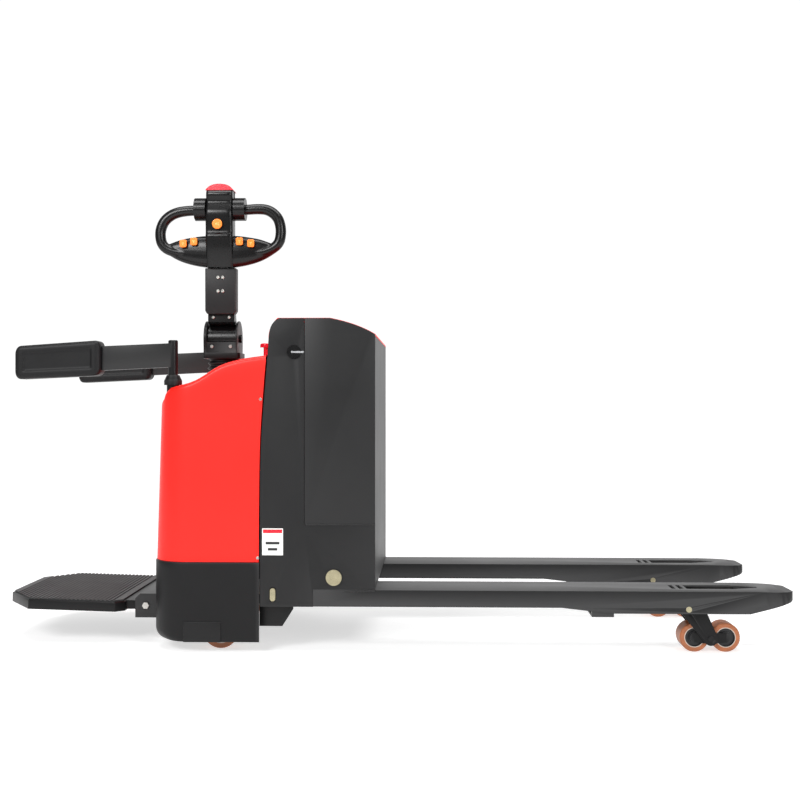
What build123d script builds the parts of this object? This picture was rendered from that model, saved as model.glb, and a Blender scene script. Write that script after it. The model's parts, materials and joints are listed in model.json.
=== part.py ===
"""Ride-on electric pallet truck, in millimetres.

+X runs along the forks, +Z is up, and the origin is on the floor under the
middle of the truck. The "near" side is -Y and the "far" side is +Y. The truck
stands as it is parked: forks part raised, tiller upright and turned to -Y,
platform down, both side arms out.
"""

from build123d import *
import os

os.makedirs("parts", exist_ok=True)

# Overall sizes
HALF_LENGTH = 1118.0
PLATE_OUT = 342.5          # outer face of the lifting side plates
PLATE_T = 6.0
LOAD_FACE = -32.0          # front face of the battery box

# Forks
FORK_Y = 260.0             # centre line of each fork
FORK_HALF_W = 82.5
FORK_TOP = 175.0
ROOT_TOP = FORK_TOP + 1      # step that the load stops against
FORK_WALL = 5.0
FORK_ROOT = -203.0
FORK_TIP = HALF_LENGTH

# Load wheels, on a bogie at the end of a swinging arm
ARM_PIVOT = (825.0, 126.0)
BOGIE_PIVOT = (894.0, 38.0)
LOAD_R = 40.0
LOAD_HALF_W = 30.0
LOAD_SPACING = 86.0
ARM_PLATE_IN = 36.0        # inner face of the arm plates, from the wheel's middle
AXLE_R = 10.0
PIN_R = 8.0
RUN_FIT = 0.05             # radial clearance of every running fit

# Linkage that pushes the load wheels down
ROCKER = (-146.0, 209.0)
ROD_Z = 150.0
LUG_PIN = (835.7, 151.9)
TAIL_PIN = (-360.0, 209.0)
TAIL_Y = 90.0
SHAFT_R = 14.0
ROD_PIN_R = 5.5            # pins at both ends of the push rods, loose in their eyes

# Power unit
AXIS_X = -512.0            # steering axis
COVER_REAR = -644.0
COVER_FRONT = -352.0
COVER_HALF_W = 340.0
COVER_BOTTOM = 250.0
SHROUD_REAR = -659.0
SHROUD_HALF_W = 346.0
SHROUD_BOTTOM = 30.0
SHELL_T = 4.0
CORNER_R = 100.0
DECK_Z = 228.0
DECK_T = 10.0
DRIVE_R = 105.0
DRIVE_HALF_W = 35.0
CASTER_X = -442.0
CASTER_Y = 262.0
CASTER_TRAIL = 28.0
CASTER_R = 50.0
CASTER_HALF_W = 20.0
LIFT_X = -328.0            # lift cylinder

# Side arms
POST_X = -603.0
POST_Y = 290.0
POST_R = 13.5
SOCKET_FLOOR = 600.0       # where the post of each arm stands in its socket

# Tiller
TILT_Z = 885.0
HEAD_Y = -60.0
GRIP_R = 15.0
THROTTLE_Z = 1271.0

# Emergency stop
STOP_X = -372.0

# Platform
HINGE_X = -698.0
HINGE_Z = 108.0
HINGE_R = 6.0


def side_plane(y):
    """The XZ plane at a given Y, seen from the near side."""
    return Plane.XZ.offset(-y)


def keep(piece, name):
    """Label a finished piece and write it."""
    piece.part.label = name
    export_step(piece.part, f"parts/{name}.step")


def screw(x, z, y_face, radius, height, toward):
    """A socket-head screw whose head stands out of a face that looks along Y."""
    with BuildPart() as head:
        with BuildSketch(side_plane(y_face)):
            with Locations((x, z)):
                Circle(radius)
        extrude(amount=-toward * height)
        chamfer(head.edges().filter_by(GeomType.CIRCLE).sort_by(Axis.Y)[-1 if toward > 0 else 0], height * 0.3)
        with BuildSketch(side_plane(y_face + toward * height)):
            with Locations((x, z)):
                RegularPolygon(radius * 0.5, 6)
        extrude(amount=toward * height * 0.6, mode=Mode.SUBTRACT)
    return head.part


# ---------------------------------------------------------------- lifting frame

PLATE_REAR = [(-299, 924), (-322, 896), (-327, 861), (-331, 801), (-347, 589), (-350, 380), (-351, 261)]
PLATE_FRONT = [(-157, 924), (-108, 912), (-60, 894), (LOAD_FACE, 879)]
DOOR_LEFT = -228.0
DOOR_BOTTOM = 355.0
DOOR_GAP = 1.0
LID_HINGE = (-312.0, 893.0)
LOCK_X = -256.0
LOCK_Z = 830.0
SLOT_X = -315.0
SLOT_Z = 161.0


def plate_outline():
    """Side plate outline: straight front, domed top, waisted rear edge."""
    with BuildLine() as line:
        Polyline((LOAD_FACE, 879), (LOAD_FACE, ROOT_TOP), (FORK_ROOT, ROOT_TOP), (FORK_ROOT, 128), (-351, 128), (-351, 261))
        Spline(*reversed(PLATE_REAR))
        Line(PLATE_REAR[0], PLATE_FRONT[0])
        Spline(*PLATE_FRONT)
    return line


for side, name in ((-1, "side_plate_near"), (1, "side_plate_far")):
    with BuildPart() as side_plate:
        with BuildSketch(side_plane(side * PLATE_OUT)):
            add(plate_outline())
            make_face()
            with Locations(ROCKER):
                Circle(SHAFT_R + RUN_FIT, mode=Mode.SUBTRACT)
            with Locations((SLOT_X, SLOT_Z)):
                SlotOverall(40, 18, rotation=90, mode=Mode.SUBTRACT)
            if side < 0:
                with Locations((LOCK_X, LOCK_Z)):
                    Circle(12, mode=Mode.SUBTRACT)
        extrude(amount=side * PLATE_T)
        with BuildSketch(side_plane(side * PLATE_OUT)):
            with Locations((DOOR_LEFT, DOOR_BOTTOM)):
                Rectangle(400, 600, align=(Align.MIN, Align.MIN))
        extrude(amount=side * PLATE_T, mode=Mode.SUBTRACT)
    keep(side_plate, name)

with BuildPart() as battery_doors:
    for side in (-1, 1):
        with BuildSketch(side_plane(side * PLATE_OUT)):
            add(plate_outline())
            make_face()
            with Locations((DOOR_LEFT + DOOR_GAP, DOOR_BOTTOM + DOOR_GAP)):
                Rectangle(400, 600, align=(Align.MIN, Align.MIN), mode=Mode.INTERSECT)
        extrude(amount=side * PLATE_T)
keep(battery_doors, "battery_doors")

BOX_FLOOR = 270.0
BOX_HALF_W = PLATE_OUT - PLATE_T
with BuildPart() as battery_box:
    with BuildSketch(Plane.YZ.offset(LOAD_FACE - 5)):
        with Locations((0, ROOT_TOP)):
            Rectangle(2 * BOX_HALF_W, 874 - ROOT_TOP, align=(Align.CENTER, Align.MIN))
    extrude(amount=5)
    with BuildSketch(Plane.XY.offset(BOX_FLOOR - 5)):
        with Locations((LOAD_FACE - 5, 0)):
            Rectangle(225, 2 * BOX_HALF_W, align=(Align.MAX, Align.CENTER))
    extrude(amount=5)
    with BuildSketch(Plane.YZ.offset(-262)):
        with Locations((0, BOX_FLOOR - 5)):
            Rectangle(2 * BOX_HALF_W, 430, align=(Align.CENTER, Align.MIN))
    extrude(amount=5)
    # notches for the tails of the rocker
    with Locations((-257, -TAIL_Y, 268), (-257, TAIL_Y, 268)):
        Box(26, 20, 22, mode=Mode.SUBTRACT)
keep(battery_box, "battery_box")

with BuildPart() as battery_pack:
    with BuildSketch(Plane.XY.offset(BOX_FLOOR)):
        with Locations((-148, 0)):
            RectangleRounded(206, 620, 8)
    extrude(amount=520)
    with Locations((-148, 0, 790)):
        with GridLocations(100, 100, 2, 6):
            Cylinder(12, 24)
    with BuildSketch(Plane.XY.offset(780)):
        with GridLocations(100, 100, 2, 5):
            with Locations((-148, 0)):
                Rectangle(60, 6)
    extrude(amount=14)
keep(battery_pack, "battery_pack")

with BuildPart() as battery_lid:
    with BuildSketch(side_plane(0)):
        with BuildLine():
            Spline((-157, 925), (-108, 913), (-60, 895), (LOAD_FACE, 880))
            Line((LOAD_FACE, 880), (LOAD_FACE, 875))
            Spline((LOAD_FACE, 875), (-60, 890), (-108, 908), (-157, 920))
            Line((-157, 920), (-299, 920))
            Spline((-299, 920), (-316, 894), (-321, 861))
            Line((-321, 861), (-327, 861))
            Spline((-327, 861), (-323.5, 894), (-302, 925))
            Line((-302, 925), (-157, 925))
        make_face()
    extrude(amount=BOX_HALF_W - 0.5, both=True)
    with BuildSketch(side_plane(0)):
        with Locations(LID_HINGE):
            Circle(5)
    extrude(amount=BOX_HALF_W - 0.5, both=True)
keep(battery_lid, "battery_lid")

with BuildPart() as lift_carriage:
    with BuildSketch(Plane.YZ.offset(-300)):
        with Locations((0, 305)):
            Rectangle(2 * BOX_HALF_W, 407, align=(Align.CENTER, Align.MIN))
    extrude(amount=8)
    with BuildSketch(Plane.XY.offset(700)):
        with Locations((-292, 0)):
            Rectangle(56, 220, align=(Align.MAX, Align.CENTER))
    extrude(amount=12)
    with Locations((-300, -150, 362), (-300, 150, 362), (-300, -150, 560), (-300, 150, 560)):
        Box(40, 27, 60, align=(Align.MAX, Align.CENTER, Align.CENTER))
    # ram of the lift cylinder, screwed up into the carriage
    with BuildSketch(Plane.XY.offset(430)):
        with Locations((LIFT_X, 0)):
            Circle(17)
    extrude(amount=270)
keep(lift_carriage, "lift_carriage")


def fork_profile():
    """Side view of a fork: shallow root, deeper over the wheels, raked tip."""
    with BuildLine() as line:
        Polyline((1085, FORK_TOP - 2), (1000, FORK_TOP), (LOAD_FACE + 1, FORK_TOP), (LOAD_FACE + 1, ROOT_TOP),
                 (FORK_ROOT, ROOT_TOP), (FORK_ROOT, 129), (479, 129), (613, 114), (991, 114), (1106, 143))
        Spline((1106, 143), (FORK_TIP, 154), (FORK_TIP - 3, 167), (1085, FORK_TOP - 2), tangents=[(1, 0.4), (-1, 0.05)])
    return line


for side, name in ((-1, "fork_near"), (1, "fork_far")):
    with BuildPart() as fork:
        with BuildSketch(side_plane(side * FORK_Y)):
            add(fork_profile())
            make_face()
        extrude(amount=FORK_HALF_W, both=True)
        with BuildSketch(Plane.XY.offset(100)):
            with BuildLine():
                Line((FORK_TIP, side * FORK_Y - 34), (FORK_TIP, side * FORK_Y + 34))
                Spline((FORK_TIP, side * FORK_Y + 34), (1100, side * FORK_Y + 65), (1020, side * FORK_Y + FORK_HALF_W),
                       tangents=[(0, 1), (-1, 0)])
                Polyline((1020, side * FORK_Y + FORK_HALF_W), (FORK_ROOT, side * FORK_Y + FORK_HALF_W),
                         (FORK_ROOT, side * FORK_Y - FORK_HALF_W), (1020, side * FORK_Y - FORK_HALF_W))
                Spline((1020, side * FORK_Y - FORK_HALF_W), (1100, side * FORK_Y - 65), (FORK_TIP, side * FORK_Y - 34),
                       tangents=[(1, 0), (0, 1)])
            make_face()
        extrude(amount=100, mode=Mode.INTERSECT)
        # inverted channel inside
        with BuildSketch(side_plane(side * FORK_Y)):
            Polygon((FORK_ROOT, 100), (FORK_ROOT, FORK_TOP - FORK_WALL), (985, FORK_TOP - FORK_WALL), (985, 100), align=None)
        extrude(amount=FORK_HALF_W - FORK_WALL, both=True, mode=Mode.SUBTRACT)
        with Locations((985, side * FORK_Y, 90)):
            Box(43, 90, FORK_TOP - FORK_WALL - 90, align=(Align.MIN, Align.CENTER, Align.MIN), mode=Mode.SUBTRACT)
        # window over the rocker, and the entry pocket with its two cross bars
        with BuildSketch(Plane.XY.offset(FORK_TOP - 20)):
            with Locations((-150, side * FORK_Y)):
                Rectangle(90, 34)
            with Locations((794, side * FORK_Y), (815, side * FORK_Y)):
                Rectangle(11, 64)
            Polygon((830, side * FORK_Y - 32), (955, side * FORK_Y - 32), (1031, side * FORK_Y - 6),
                    (1031, side * FORK_Y + 6), (955, side * FORK_Y + 32), (830, side * FORK_Y + 32), align=None)
        extrude(amount=30, mode=Mode.SUBTRACT)
        with BuildSketch(side_plane(side * FORK_Y)):
            with Locations(ARM_PIVOT):
                Circle(PIN_R)
        extrude(amount=FORK_HALF_W + 5, both=True, mode=Mode.SUBTRACT)
        # strap that keeps the push rod up
        with Locations((592, side * FORK_Y, 106)):
            Box(60, 2 * (FORK_HALF_W - FORK_WALL), 5)
        with Locations((592, side * FORK_Y - 68, 118), (592, side * FORK_Y + 68, 118)):
            Box(60, 2 * (FORK_HALF_W - FORK_WALL - 68), 22)
    keep(fork, name)

with BuildPart() as lift_fasteners:
    for side in (-1, 1):
        with BuildSketch(side_plane(side * (PLATE_OUT - 5))):
            with Locations((SLOT_X, SLOT_Z)):
                SlotOverall(36, 15, rotation=90)
        extrude(amount=-side * 6.5)
        with BuildSketch(side_plane(side * FORK_Y)):
            with Locations(ARM_PIVOT):
                Circle(PIN_R)
        extrude(amount=FORK_HALF_W, both=True)
        # cap over the end of the rocker shaft
        with BuildSketch(side_plane(side * PLATE_OUT)):
            with Locations(ROCKER):
                Circle(22)
        extrude(amount=-side * 3.5)
keep(lift_fasteners, "lift_fasteners")

with BuildPart() as door_lock:
    with BuildSketch(side_plane(-PLATE_OUT)):
        with Locations((LOCK_X, LOCK_Z)):
            Circle(19)
    extrude(amount=3)
    with BuildSketch(side_plane(-PLATE_OUT - 3)):
        with Locations((LOCK_X, LOCK_Z)):
            SlotOverall(36, 9)
    extrude(amount=-1.6, mode=Mode.SUBTRACT)
    with BuildSketch(side_plane(-PLATE_OUT)):
        with Locations((LOCK_X, LOCK_Z)):
            Circle(11.95)
    extrude(amount=-14)
    with BuildSketch(side_plane(-PLATE_OUT + 8)):
        with Locations((LOCK_X + 14, LOCK_Z)):
            RectangleRounded(50, 16, 6)
    extrude(amount=-4)
keep(door_lock, "door_lock")

# ---------------------------------------------------------------- wheel linkage

with BuildPart() as rocker_shaft:
    with BuildSketch(side_plane(0)):
        with Locations(ROCKER):
            Circle(SHAFT_R)
    extrude(amount=PLATE_OUT, both=True)
    with BuildSketch(side_plane(0)):
        with Locations(ROCKER):
            Circle(20)
    extrude(amount=BOX_HALF_W - 3, both=True)
    for side in (-1, 1):
        with BuildSketch(side_plane(side * FORK_Y)):
            with Locations(ROCKER):
                Circle(20)
            with Locations((ROCKER[0], ROD_Z)):
                Circle(9)
            make_hull()
        extrude(amount=6, both=True)
        with BuildSketch(side_plane(side * FORK_Y)):
            with Locations((ROCKER[0], ROD_Z)):
                Circle(ROD_PIN_R)
        extrude(amount=15, both=True)
        with BuildSketch(side_plane(side * TAIL_Y)):
            with Locations(ROCKER, TAIL_PIN):
                Circle(9)
            make_hull()
        extrude(amount=6, both=True)
        with BuildSketch(side_plane(side * TAIL_Y)):
            with Locations(TAIL_PIN):
                Circle(7)
        extrude(amount=15, both=True)
keep(rocker_shaft, "rocker_shaft")

with BuildPart() as push_rods:
    for side in (-1, 1):
        with BuildSketch(Plane.YZ.offset(ROCKER[0] + 20)):
            with Locations((side * FORK_Y, ROD_Z)):
                Circle(9)
        extrude(amount=LUG_PIN[0] - ROCKER[0] - 40)
        for end_x, eye_z, eye_r in ((ROCKER[0], ROD_Z + 2.4, 13), (LUG_PIN[0], ROD_Z + 2, 12)):
            inward = 1 if end_x < 0 else -1
            for cheek in (-1, 1):
                with BuildSketch(side_plane(side * FORK_Y + cheek * 11)):
                    with Locations((end_x, eye_z)):
                        Circle(eye_r)
                    with Locations((end_x + inward * 26, ROD_Z)):
                        Rectangle(10, 23)
                    make_hull()
                    with Locations((end_x, eye_z)):
                        Circle(ROD_PIN_R + 3.2, mode=Mode.SUBTRACT)
                extrude(amount=2.5, both=True)
            with Locations((end_x + inward * 26, side * FORK_Y, ROD_Z)):
                Box(10, 27, 23)
keep(push_rods, "push_rods")


with BuildPart() as wheel_arms:
    for side in (-1, 1):
        for cheek in (-1, 1):
            with BuildSketch(side_plane(side * FORK_Y + cheek * ARM_PLATE_IN)):
                with Locations(ARM_PIVOT):
                    Circle(20)
                with Locations((864, 118)):
                    Circle(14)
                with Locations(BOGIE_PIVOT):
                    Circle(19)
                make_hull()
            extrude(amount=-cheek * 6)
        with BuildSketch(side_plane(side * FORK_Y)):
            with Locations(ARM_PIVOT):
                Circle(12)
        extrude(amount=38, both=True)
        with BuildSketch(side_plane(side * FORK_Y)):
            with Locations(ARM_PIVOT):
                Circle(12)
            with Locations(LUG_PIN):
                Circle(9)
            make_hull()
        extrude(amount=6, both=True)
        with BuildSketch(side_plane(side * FORK_Y)):
            with Locations(LUG_PIN):
                Circle(ROD_PIN_R)
        extrude(amount=15, both=True)
        for hole in (ARM_PIVOT, BOGIE_PIVOT):
            with BuildSketch(side_plane(side * FORK_Y)):
                with Locations(hole):
                    Circle(PIN_R + RUN_FIT)
            extrude(amount=60, both=True, mode=Mode.SUBTRACT)
keep(wheel_arms, "wheel_arms")

AXLES = [(BOGIE_PIVOT[0] - LOAD_SPACING / 2, LOAD_R), (BOGIE_PIVOT[0] + LOAD_SPACING / 2, LOAD_R)]

for side, name in ((-1, "bogie_near"), (1, "bogie_far")):
    with BuildPart() as bogie:
        for cheek in (-1, 1):
            with BuildSketch(side_plane(side * FORK_Y + cheek * (LOAD_HALF_W + 1))):
                with Locations(*AXLES):
                    Circle(13)
                with Locations(BOGIE_PIVOT):
                    Circle(14)
                make_hull()
            extrude(amount=-cheek * 4)
        with BuildSketch(side_plane(side * FORK_Y)):
            with Locations(*AXLES):
                Circle(AXLE_R)
        extrude(amount=LOAD_HALF_W + 4, both=True)
        with BuildSketch(side_plane(side * FORK_Y)):
            with Locations(BOGIE_PIVOT):
                Circle(PIN_R - 5)
        extrude(amount=43, both=True)
        for cheek in (-1, 1):
            with BuildSketch(side_plane(side * FORK_Y + cheek * (LOAD_HALF_W + 5))):
                with Locations(BOGIE_PIVOT):
                    Circle(PIN_R)
            extrude(amount=-cheek * 8.5)
    keep(bogie, name)


def wheel(x, y, z, radius, half_width, hub_radius, bore, axis_plane):
    """A bonded tyre on a hub with recessed faces, turning on a plain bore."""
    with BuildPart() as whole:
        with BuildSketch(axis_plane(y)):
            with Locations((x, z)):
                Circle(radius)
        extrude(amount=half_width, both=True)
        chamfer(whole.edges().filter_by(GeomType.CIRCLE), half_width * 0.1)
        for cheek in (-1, 1):
            with BuildSketch(axis_plane(y + cheek * half_width)):
                with Locations((x, z)):
                    Circle(hub_radius)
                    Circle(bore + 6, mode=Mode.SUBTRACT)
            extrude(amount=cheek * half_width * 0.2, mode=Mode.SUBTRACT)
        with BuildSketch(axis_plane(y)):
            with Locations((x, z)):
                Circle(bore)
        extrude(amount=half_width, both=True, mode=Mode.SUBTRACT)
    return whole


for side, side_name in ((-1, "near"), (1, "far")):
    for axle, place in zip(AXLES, ("rear", "front")):
        load_wheel = wheel(axle[0], side * FORK_Y, axle[1], LOAD_R, LOAD_HALF_W, 25, AXLE_R + RUN_FIT, side_plane)
        keep(load_wheel, f"load_wheel_{side_name}_{place}")

# ---------------------------------------------------------------- power unit


def plan_outline(rear, half_w, radius):
    """Plan of a cover: straight across the front, rounded at both rear corners."""
    with BuildLine() as line:
        Polyline((COVER_FRONT, -half_w), (rear + radius, -half_w))
        RadiusArc((rear + radius, -half_w), (rear, radius - half_w), radius)
        Line((rear, radius - half_w), (rear, half_w - radius))
        RadiusArc((rear, half_w - radius), (rear + radius, half_w), radius)
        Polyline((rear + radius, half_w), (COVER_FRONT, half_w), (COVER_FRONT, -half_w))
    return line


def cover_form(inset):
    """Outer form of the cover, or the same form drawn in by the wall thickness."""
    with BuildPart() as form:
        with BuildSketch(side_plane(0)):
            with BuildLine():
                Polyline((-334, 823 - inset), (-350.5, 589), (-354, COVER_BOTTOM), (-664, COVER_BOTTOM), (-644, 690 - inset))
                Spline((-644, 690 - inset), (-624, 726 - inset), (-564, 742 - inset), (-504, 770 - inset),
                       (-444, 802 - inset), (-384, 818 - inset), (-334, 823 - inset))
            make_face()
        extrude(amount=COVER_HALF_W - inset, both=True)
        with BuildSketch(Plane.XY.offset(COVER_BOTTOM)):
            add(plan_outline(COVER_REAR - 13 + inset, COVER_HALF_W - inset, CORNER_R - inset))
            make_face()
            with Locations((COVER_FRONT, 0)):
                Rectangle(30, 2 * (COVER_HALF_W - inset), align=(Align.MIN, Align.CENTER))
        extrude(amount=600, mode=Mode.INTERSECT)
    return form.part


cover_core = cover_form(SHELL_T)
with BuildPart() as red_cover:
    add(cover_form(0))
    add(cover_core, mode=Mode.SUBTRACT)
    with BuildSketch(side_plane(0)):
        Polygon((-320, 819), (-343, 589), (-348, 240), (-360, 240), (-356, 589), (-338, 819), align=None)
    extrude(amount=COVER_HALF_W - SHELL_T, both=True, mode=Mode.SUBTRACT)
    with BuildSketch(Plane.XY.offset(600)):
        with Locations((AXIS_X, 0)):
            Circle(45)
        with Locations((POST_X, -POST_Y), (POST_X, POST_Y)):
            Circle(POST_R + 5)
        with Locations((STOP_X, -60)):
            Circle(12)
    extrude(amount=300, mode=Mode.SUBTRACT)
keep(red_cover, "red_cover")


with BuildPart() as lower_shroud:
    with BuildSketch(Plane.XY.offset(SHROUD_BOTTOM)):
        add(plan_outline(SHROUD_REAR, SHROUD_HALF_W, CORNER_R))
        make_face()
    extrude(amount=COVER_BOTTOM - SHROUD_BOTTOM)
    bottom_edges = lower_shroud.faces().sort_by(Axis.Z)[0].edges().filter_by(lambda e: e.center().X < COVER_FRONT - 1)
    chamfer(bottom_edges, 3)
    with BuildSketch(Plane.XY.offset(SHROUD_BOTTOM)):
        add(plan_outline(SHROUD_REAR + SHELL_T, SHROUD_HALF_W - SHELL_T, CORNER_R - SHELL_T))
        make_face()
        with Locations((COVER_FRONT, 0)):
            Rectangle(30, 2 * (SHROUD_HALF_W - SHELL_T), align=(Align.MIN, Align.CENTER))
    extrude(amount=COVER_BOTTOM, mode=Mode.SUBTRACT)
keep(lower_shroud, "lower_shroud")

with BuildPart() as access_cover:
    with BuildSketch(side_plane(-SHROUD_HALF_W)):
        with Locations((-510, SHROUD_BOTTOM + 28)):
            Rectangle(104, 56)
    extrude(amount=2.5)
keep(access_cover, "access_cover")

BEARING_R = 62.0
with BuildPart() as base_frame:
    with BuildSketch(Plane.XY.offset(DECK_Z)):
        with Locations((-471, 0)):
            Rectangle(338, 636)
        with Locations((AXIS_X, 0)):
            Circle(BEARING_R, mode=Mode.SUBTRACT)
    extrude(amount=DECK_T)
    chamfer(base_frame.edges().filter_by(Axis.Z).sort_by(Axis.X)[:2], 70)
    for side in (-1, 1):
        # caster post, foot bracket and lift channel on each side
        with BuildSketch(Plane.XY.offset(118)):
            with Locations((CASTER_X, side * CASTER_Y)):
                Rectangle(84, 84)
                Circle(12 + RUN_FIT, mode=Mode.SUBTRACT)
        extrude(amount=10)
        with BuildSketch(Plane.XY.offset(128)):
            with Locations((CASTER_X, side * CASTER_Y)):
                Rectangle(84, 84)
                Rectangle(72, 72, mode=Mode.SUBTRACT)
        extrude(amount=DECK_Z - 128)
        with BuildSketch(side_plane(side * 308)):
            Polygon((-356, DECK_Z + 4), (-356, 69), (-292, 69), (-262, 116), (-262, 150), (-310, DECK_Z + 4), align=None)
        extrude(amount=5, both=True)
        with BuildSketch(Plane.XY.offset(DECK_Z)):
            with Locations((-347, side * 150)):
                Rectangle(40, 40, align=(Align.MIN, Align.CENTER))
            with Locations((-341, side * 150)):
                Rectangle(40, 28, align=(Align.MIN, Align.CENTER), mode=Mode.SUBTRACT)
        extrude(amount=600 - DECK_Z)
        # slotted hanger for the tail of the rocker
        for cheek in (-1, 1):
            with BuildSketch(side_plane(side * TAIL_Y + cheek * 11)):
                Polygon((-386, DECK_Z + 4), (-386, 188), (-320, 188), (-320, DECK_Z + 4), align=None)
                with Locations((TAIL_PIN[0] + 8, TAIL_PIN[1] - 1)):
                    SlotOverall(46, 24, mode=Mode.SUBTRACT)
            extrude(amount=2.5, both=True)
    # rear wall that carries the platform
    with Locations((-643, 0, 150)):
        Box(6, 440, 170)
keep(base_frame, "base_frame")

with BuildPart() as steering_bearing:
    with BuildSketch(Plane.XY.offset(DECK_Z - 2)):
        with Locations((AXIS_X, 0)):
            Circle(BEARING_R - 0.05)
            Circle(45, mode=Mode.SUBTRACT)
    extrude(amount=12)
    with BuildSketch(Plane.XY.offset(DECK_Z + DECK_T)):
        with Locations((AXIS_X, 0)):
            Circle(78)
            Circle(45, mode=Mode.SUBTRACT)
            with PolarLocations(70, 8):
                Circle(3.5, mode=Mode.SUBTRACT)
    extrude(amount=8)
keep(steering_bearing, "steering_bearing")

with BuildPart() as hydraulic_unit:
    with BuildSketch(Plane.XY.offset(DECK_Z + DECK_T)):
        with Locations((-500, 195)):
            RectangleRounded(150, 110, 12)
    extrude(amount=230)
    with BuildSketch(Plane.XY.offset(DECK_Z + DECK_T + 230)):
        with Locations((-500, 195)):
            RectangleRounded(100, 80, 6)
    extrude(amount=40)
    with BuildSketch(Plane.XY.offset(DECK_Z + DECK_T + 270)):
        with Locations((-500, 195)):
            Circle(42)
    extrude(amount=150)
    chamfer(hydraulic_unit.faces().sort_by(Axis.Z)[-1].edges(), 4)
    with Locations((-405, 195, 300)):
        Box(44, 50, 60)
keep(hydraulic_unit, "hydraulic_unit")

with BuildPart() as lift_cylinder:
    with BuildSketch(Plane.XY.offset(DECK_Z + DECK_T)):
        with Locations((LIFT_X, 0)):
            Circle(25)
    extrude(amount=282)
    with BuildSketch(Plane.XY.offset(DECK_Z + DECK_T + 72)):
        with Locations((LIFT_X, 0)):
            Circle(17 + RUN_FIT)
    extrude(amount=300, mode=Mode.SUBTRACT)
keep(lift_cylinder, "lift_cylinder")

with BuildPart() as motor_controller:
    with Locations((-465, -250, 340)):
        Box(170, 60, 190)
    with Locations((-465, -212, 340)):
        with GridLocations(14, 1, 11, 1):
            Box(3, 18, 180)
keep(motor_controller, "motor_controller")

SOCKET_R = POST_R + 4
with BuildPart() as arm_posts:
    for side in (-1, 1):
        with BuildSketch(Plane.XY.offset(DECK_Z + DECK_T)):
            with Locations((POST_X + 12, side * (POST_Y - 14))):
                Rectangle(46, 34)
        extrude(amount=8)
        with BuildSketch(Plane.XY.offset(DECK_Z + DECK_T)):
            with Locations((POST_X, side * POST_Y)):
                Circle(SOCKET_R)
        extrude(amount=744 - DECK_Z - DECK_T)
        # collar that seals the socket over the cover
        with BuildSketch(Plane.XZ.offset(-side * POST_Y)):
            Polygon((POST_X, 740), (POST_X + 25, 740), (POST_X + 25, 752), (POST_X + SOCKET_R, 768), (POST_X, 768), align=None)
        revolve(axis=Axis((POST_X, side * POST_Y, 0), (0, 0, 1)))
        with BuildSketch(Plane.XY.offset(SOCKET_FLOOR)):
            with Locations((POST_X, side * POST_Y)):
                Circle(POST_R + RUN_FIT)
        extrude(amount=800 - SOCKET_FLOOR, mode=Mode.SUBTRACT)
keep(arm_posts, "arm_posts")

with BuildPart() as platform_bracket:
    for side in (-1, 1):
        with BuildSketch(side_plane(side * 209)):
            Polygon((-729, 73), (SHROUD_REAR, 73), (SHROUD_REAR, 142), (-714, 142), (-729, 128), align=None)
            with Locations((HINGE_X, HINGE_Z)):
                Circle(HINGE_R + RUN_FIT, mode=Mode.SUBTRACT)
        extrude(amount=-side * 8)
    with Locations((SHROUD_REAR - 3, 0, 107.5)):
        Box(6, 434, 69)
keep(platform_bracket, "platform_bracket")

with BuildPart() as platform_bolts:
    for side in (-1, 1):
        with BuildSketch(side_plane(side * 180)):
            with Locations((HINGE_X, HINGE_Z)):
                Circle(HINGE_R)
        extrude(amount=-side * 37)
        with BuildSketch(side_plane(side * 217)):
            with Locations((HINGE_X, HINGE_Z)):
                RegularPolygon(10, 6)
        extrude(amount=-side * 6)
keep(platform_bolts, "platform_bolts")

PLATFORM_TOP = 119.5       # before it is tilted about the hinge
PLATFORM_LOW = PLATFORM_TOP - 28
PLATFORM_TILT = 1.6
PLATFORM_END = -HALF_LENGTH + 0.3
PLATFORM_HINGE = Axis((HINGE_X, 0, HINGE_Z), (0, 1, 0))
with BuildPart() as platform_plate:
    with BuildSketch(Plane.XY.offset(PLATFORM_LOW)):
        Polygon((PLATFORM_END, -130), (PLATFORM_END, 130), (-1030, 245), (-780, 245), (-757, 222),
                (-757, -222), (-780, -245), (-1030, -245), align=None)
    extrude(amount=PLATFORM_TOP - PLATFORM_LOW)
    chamfer(platform_plate.faces().sort_by(Axis.Z)[-1].edges(), 3)
    with BuildSketch(Plane.XY.offset(PLATFORM_LOW)):
        Polygon((-1112, -128), (-1112, 128), (-1027, 239), (-782, 239), (-763, 220),
                (-763, -220), (-782, -239), (-1027, -239), align=None)
    extrude(amount=PLATFORM_TOP - PLATFORM_LOW - 5, mode=Mode.SUBTRACT)
    with BuildSketch(side_plane(0)):
        Polygon((-765, PLATFORM_LOW + 2), (-765, PLATFORM_TOP), (HINGE_X - 4, PLATFORM_TOP), (HINGE_X, 96),
                (HINGE_X - 8, 96), align=None)
        with Locations((HINGE_X, HINGE_Z)):
            Circle(14)
    extrude(amount=207, both=True)
    with Locations((-725, 0, 98)):
        Box(70, 380, 30, mode=Mode.SUBTRACT)
    with BuildSketch(side_plane(0)):
        with Locations((HINGE_X, HINGE_Z)):
            Circle(HINGE_R + RUN_FIT)
    extrude(amount=207, both=True, mode=Mode.SUBTRACT)
platform_plate.part = platform_plate.part.rotate(PLATFORM_HINGE, PLATFORM_TILT)
keep(platform_plate, "platform_plate")

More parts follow.
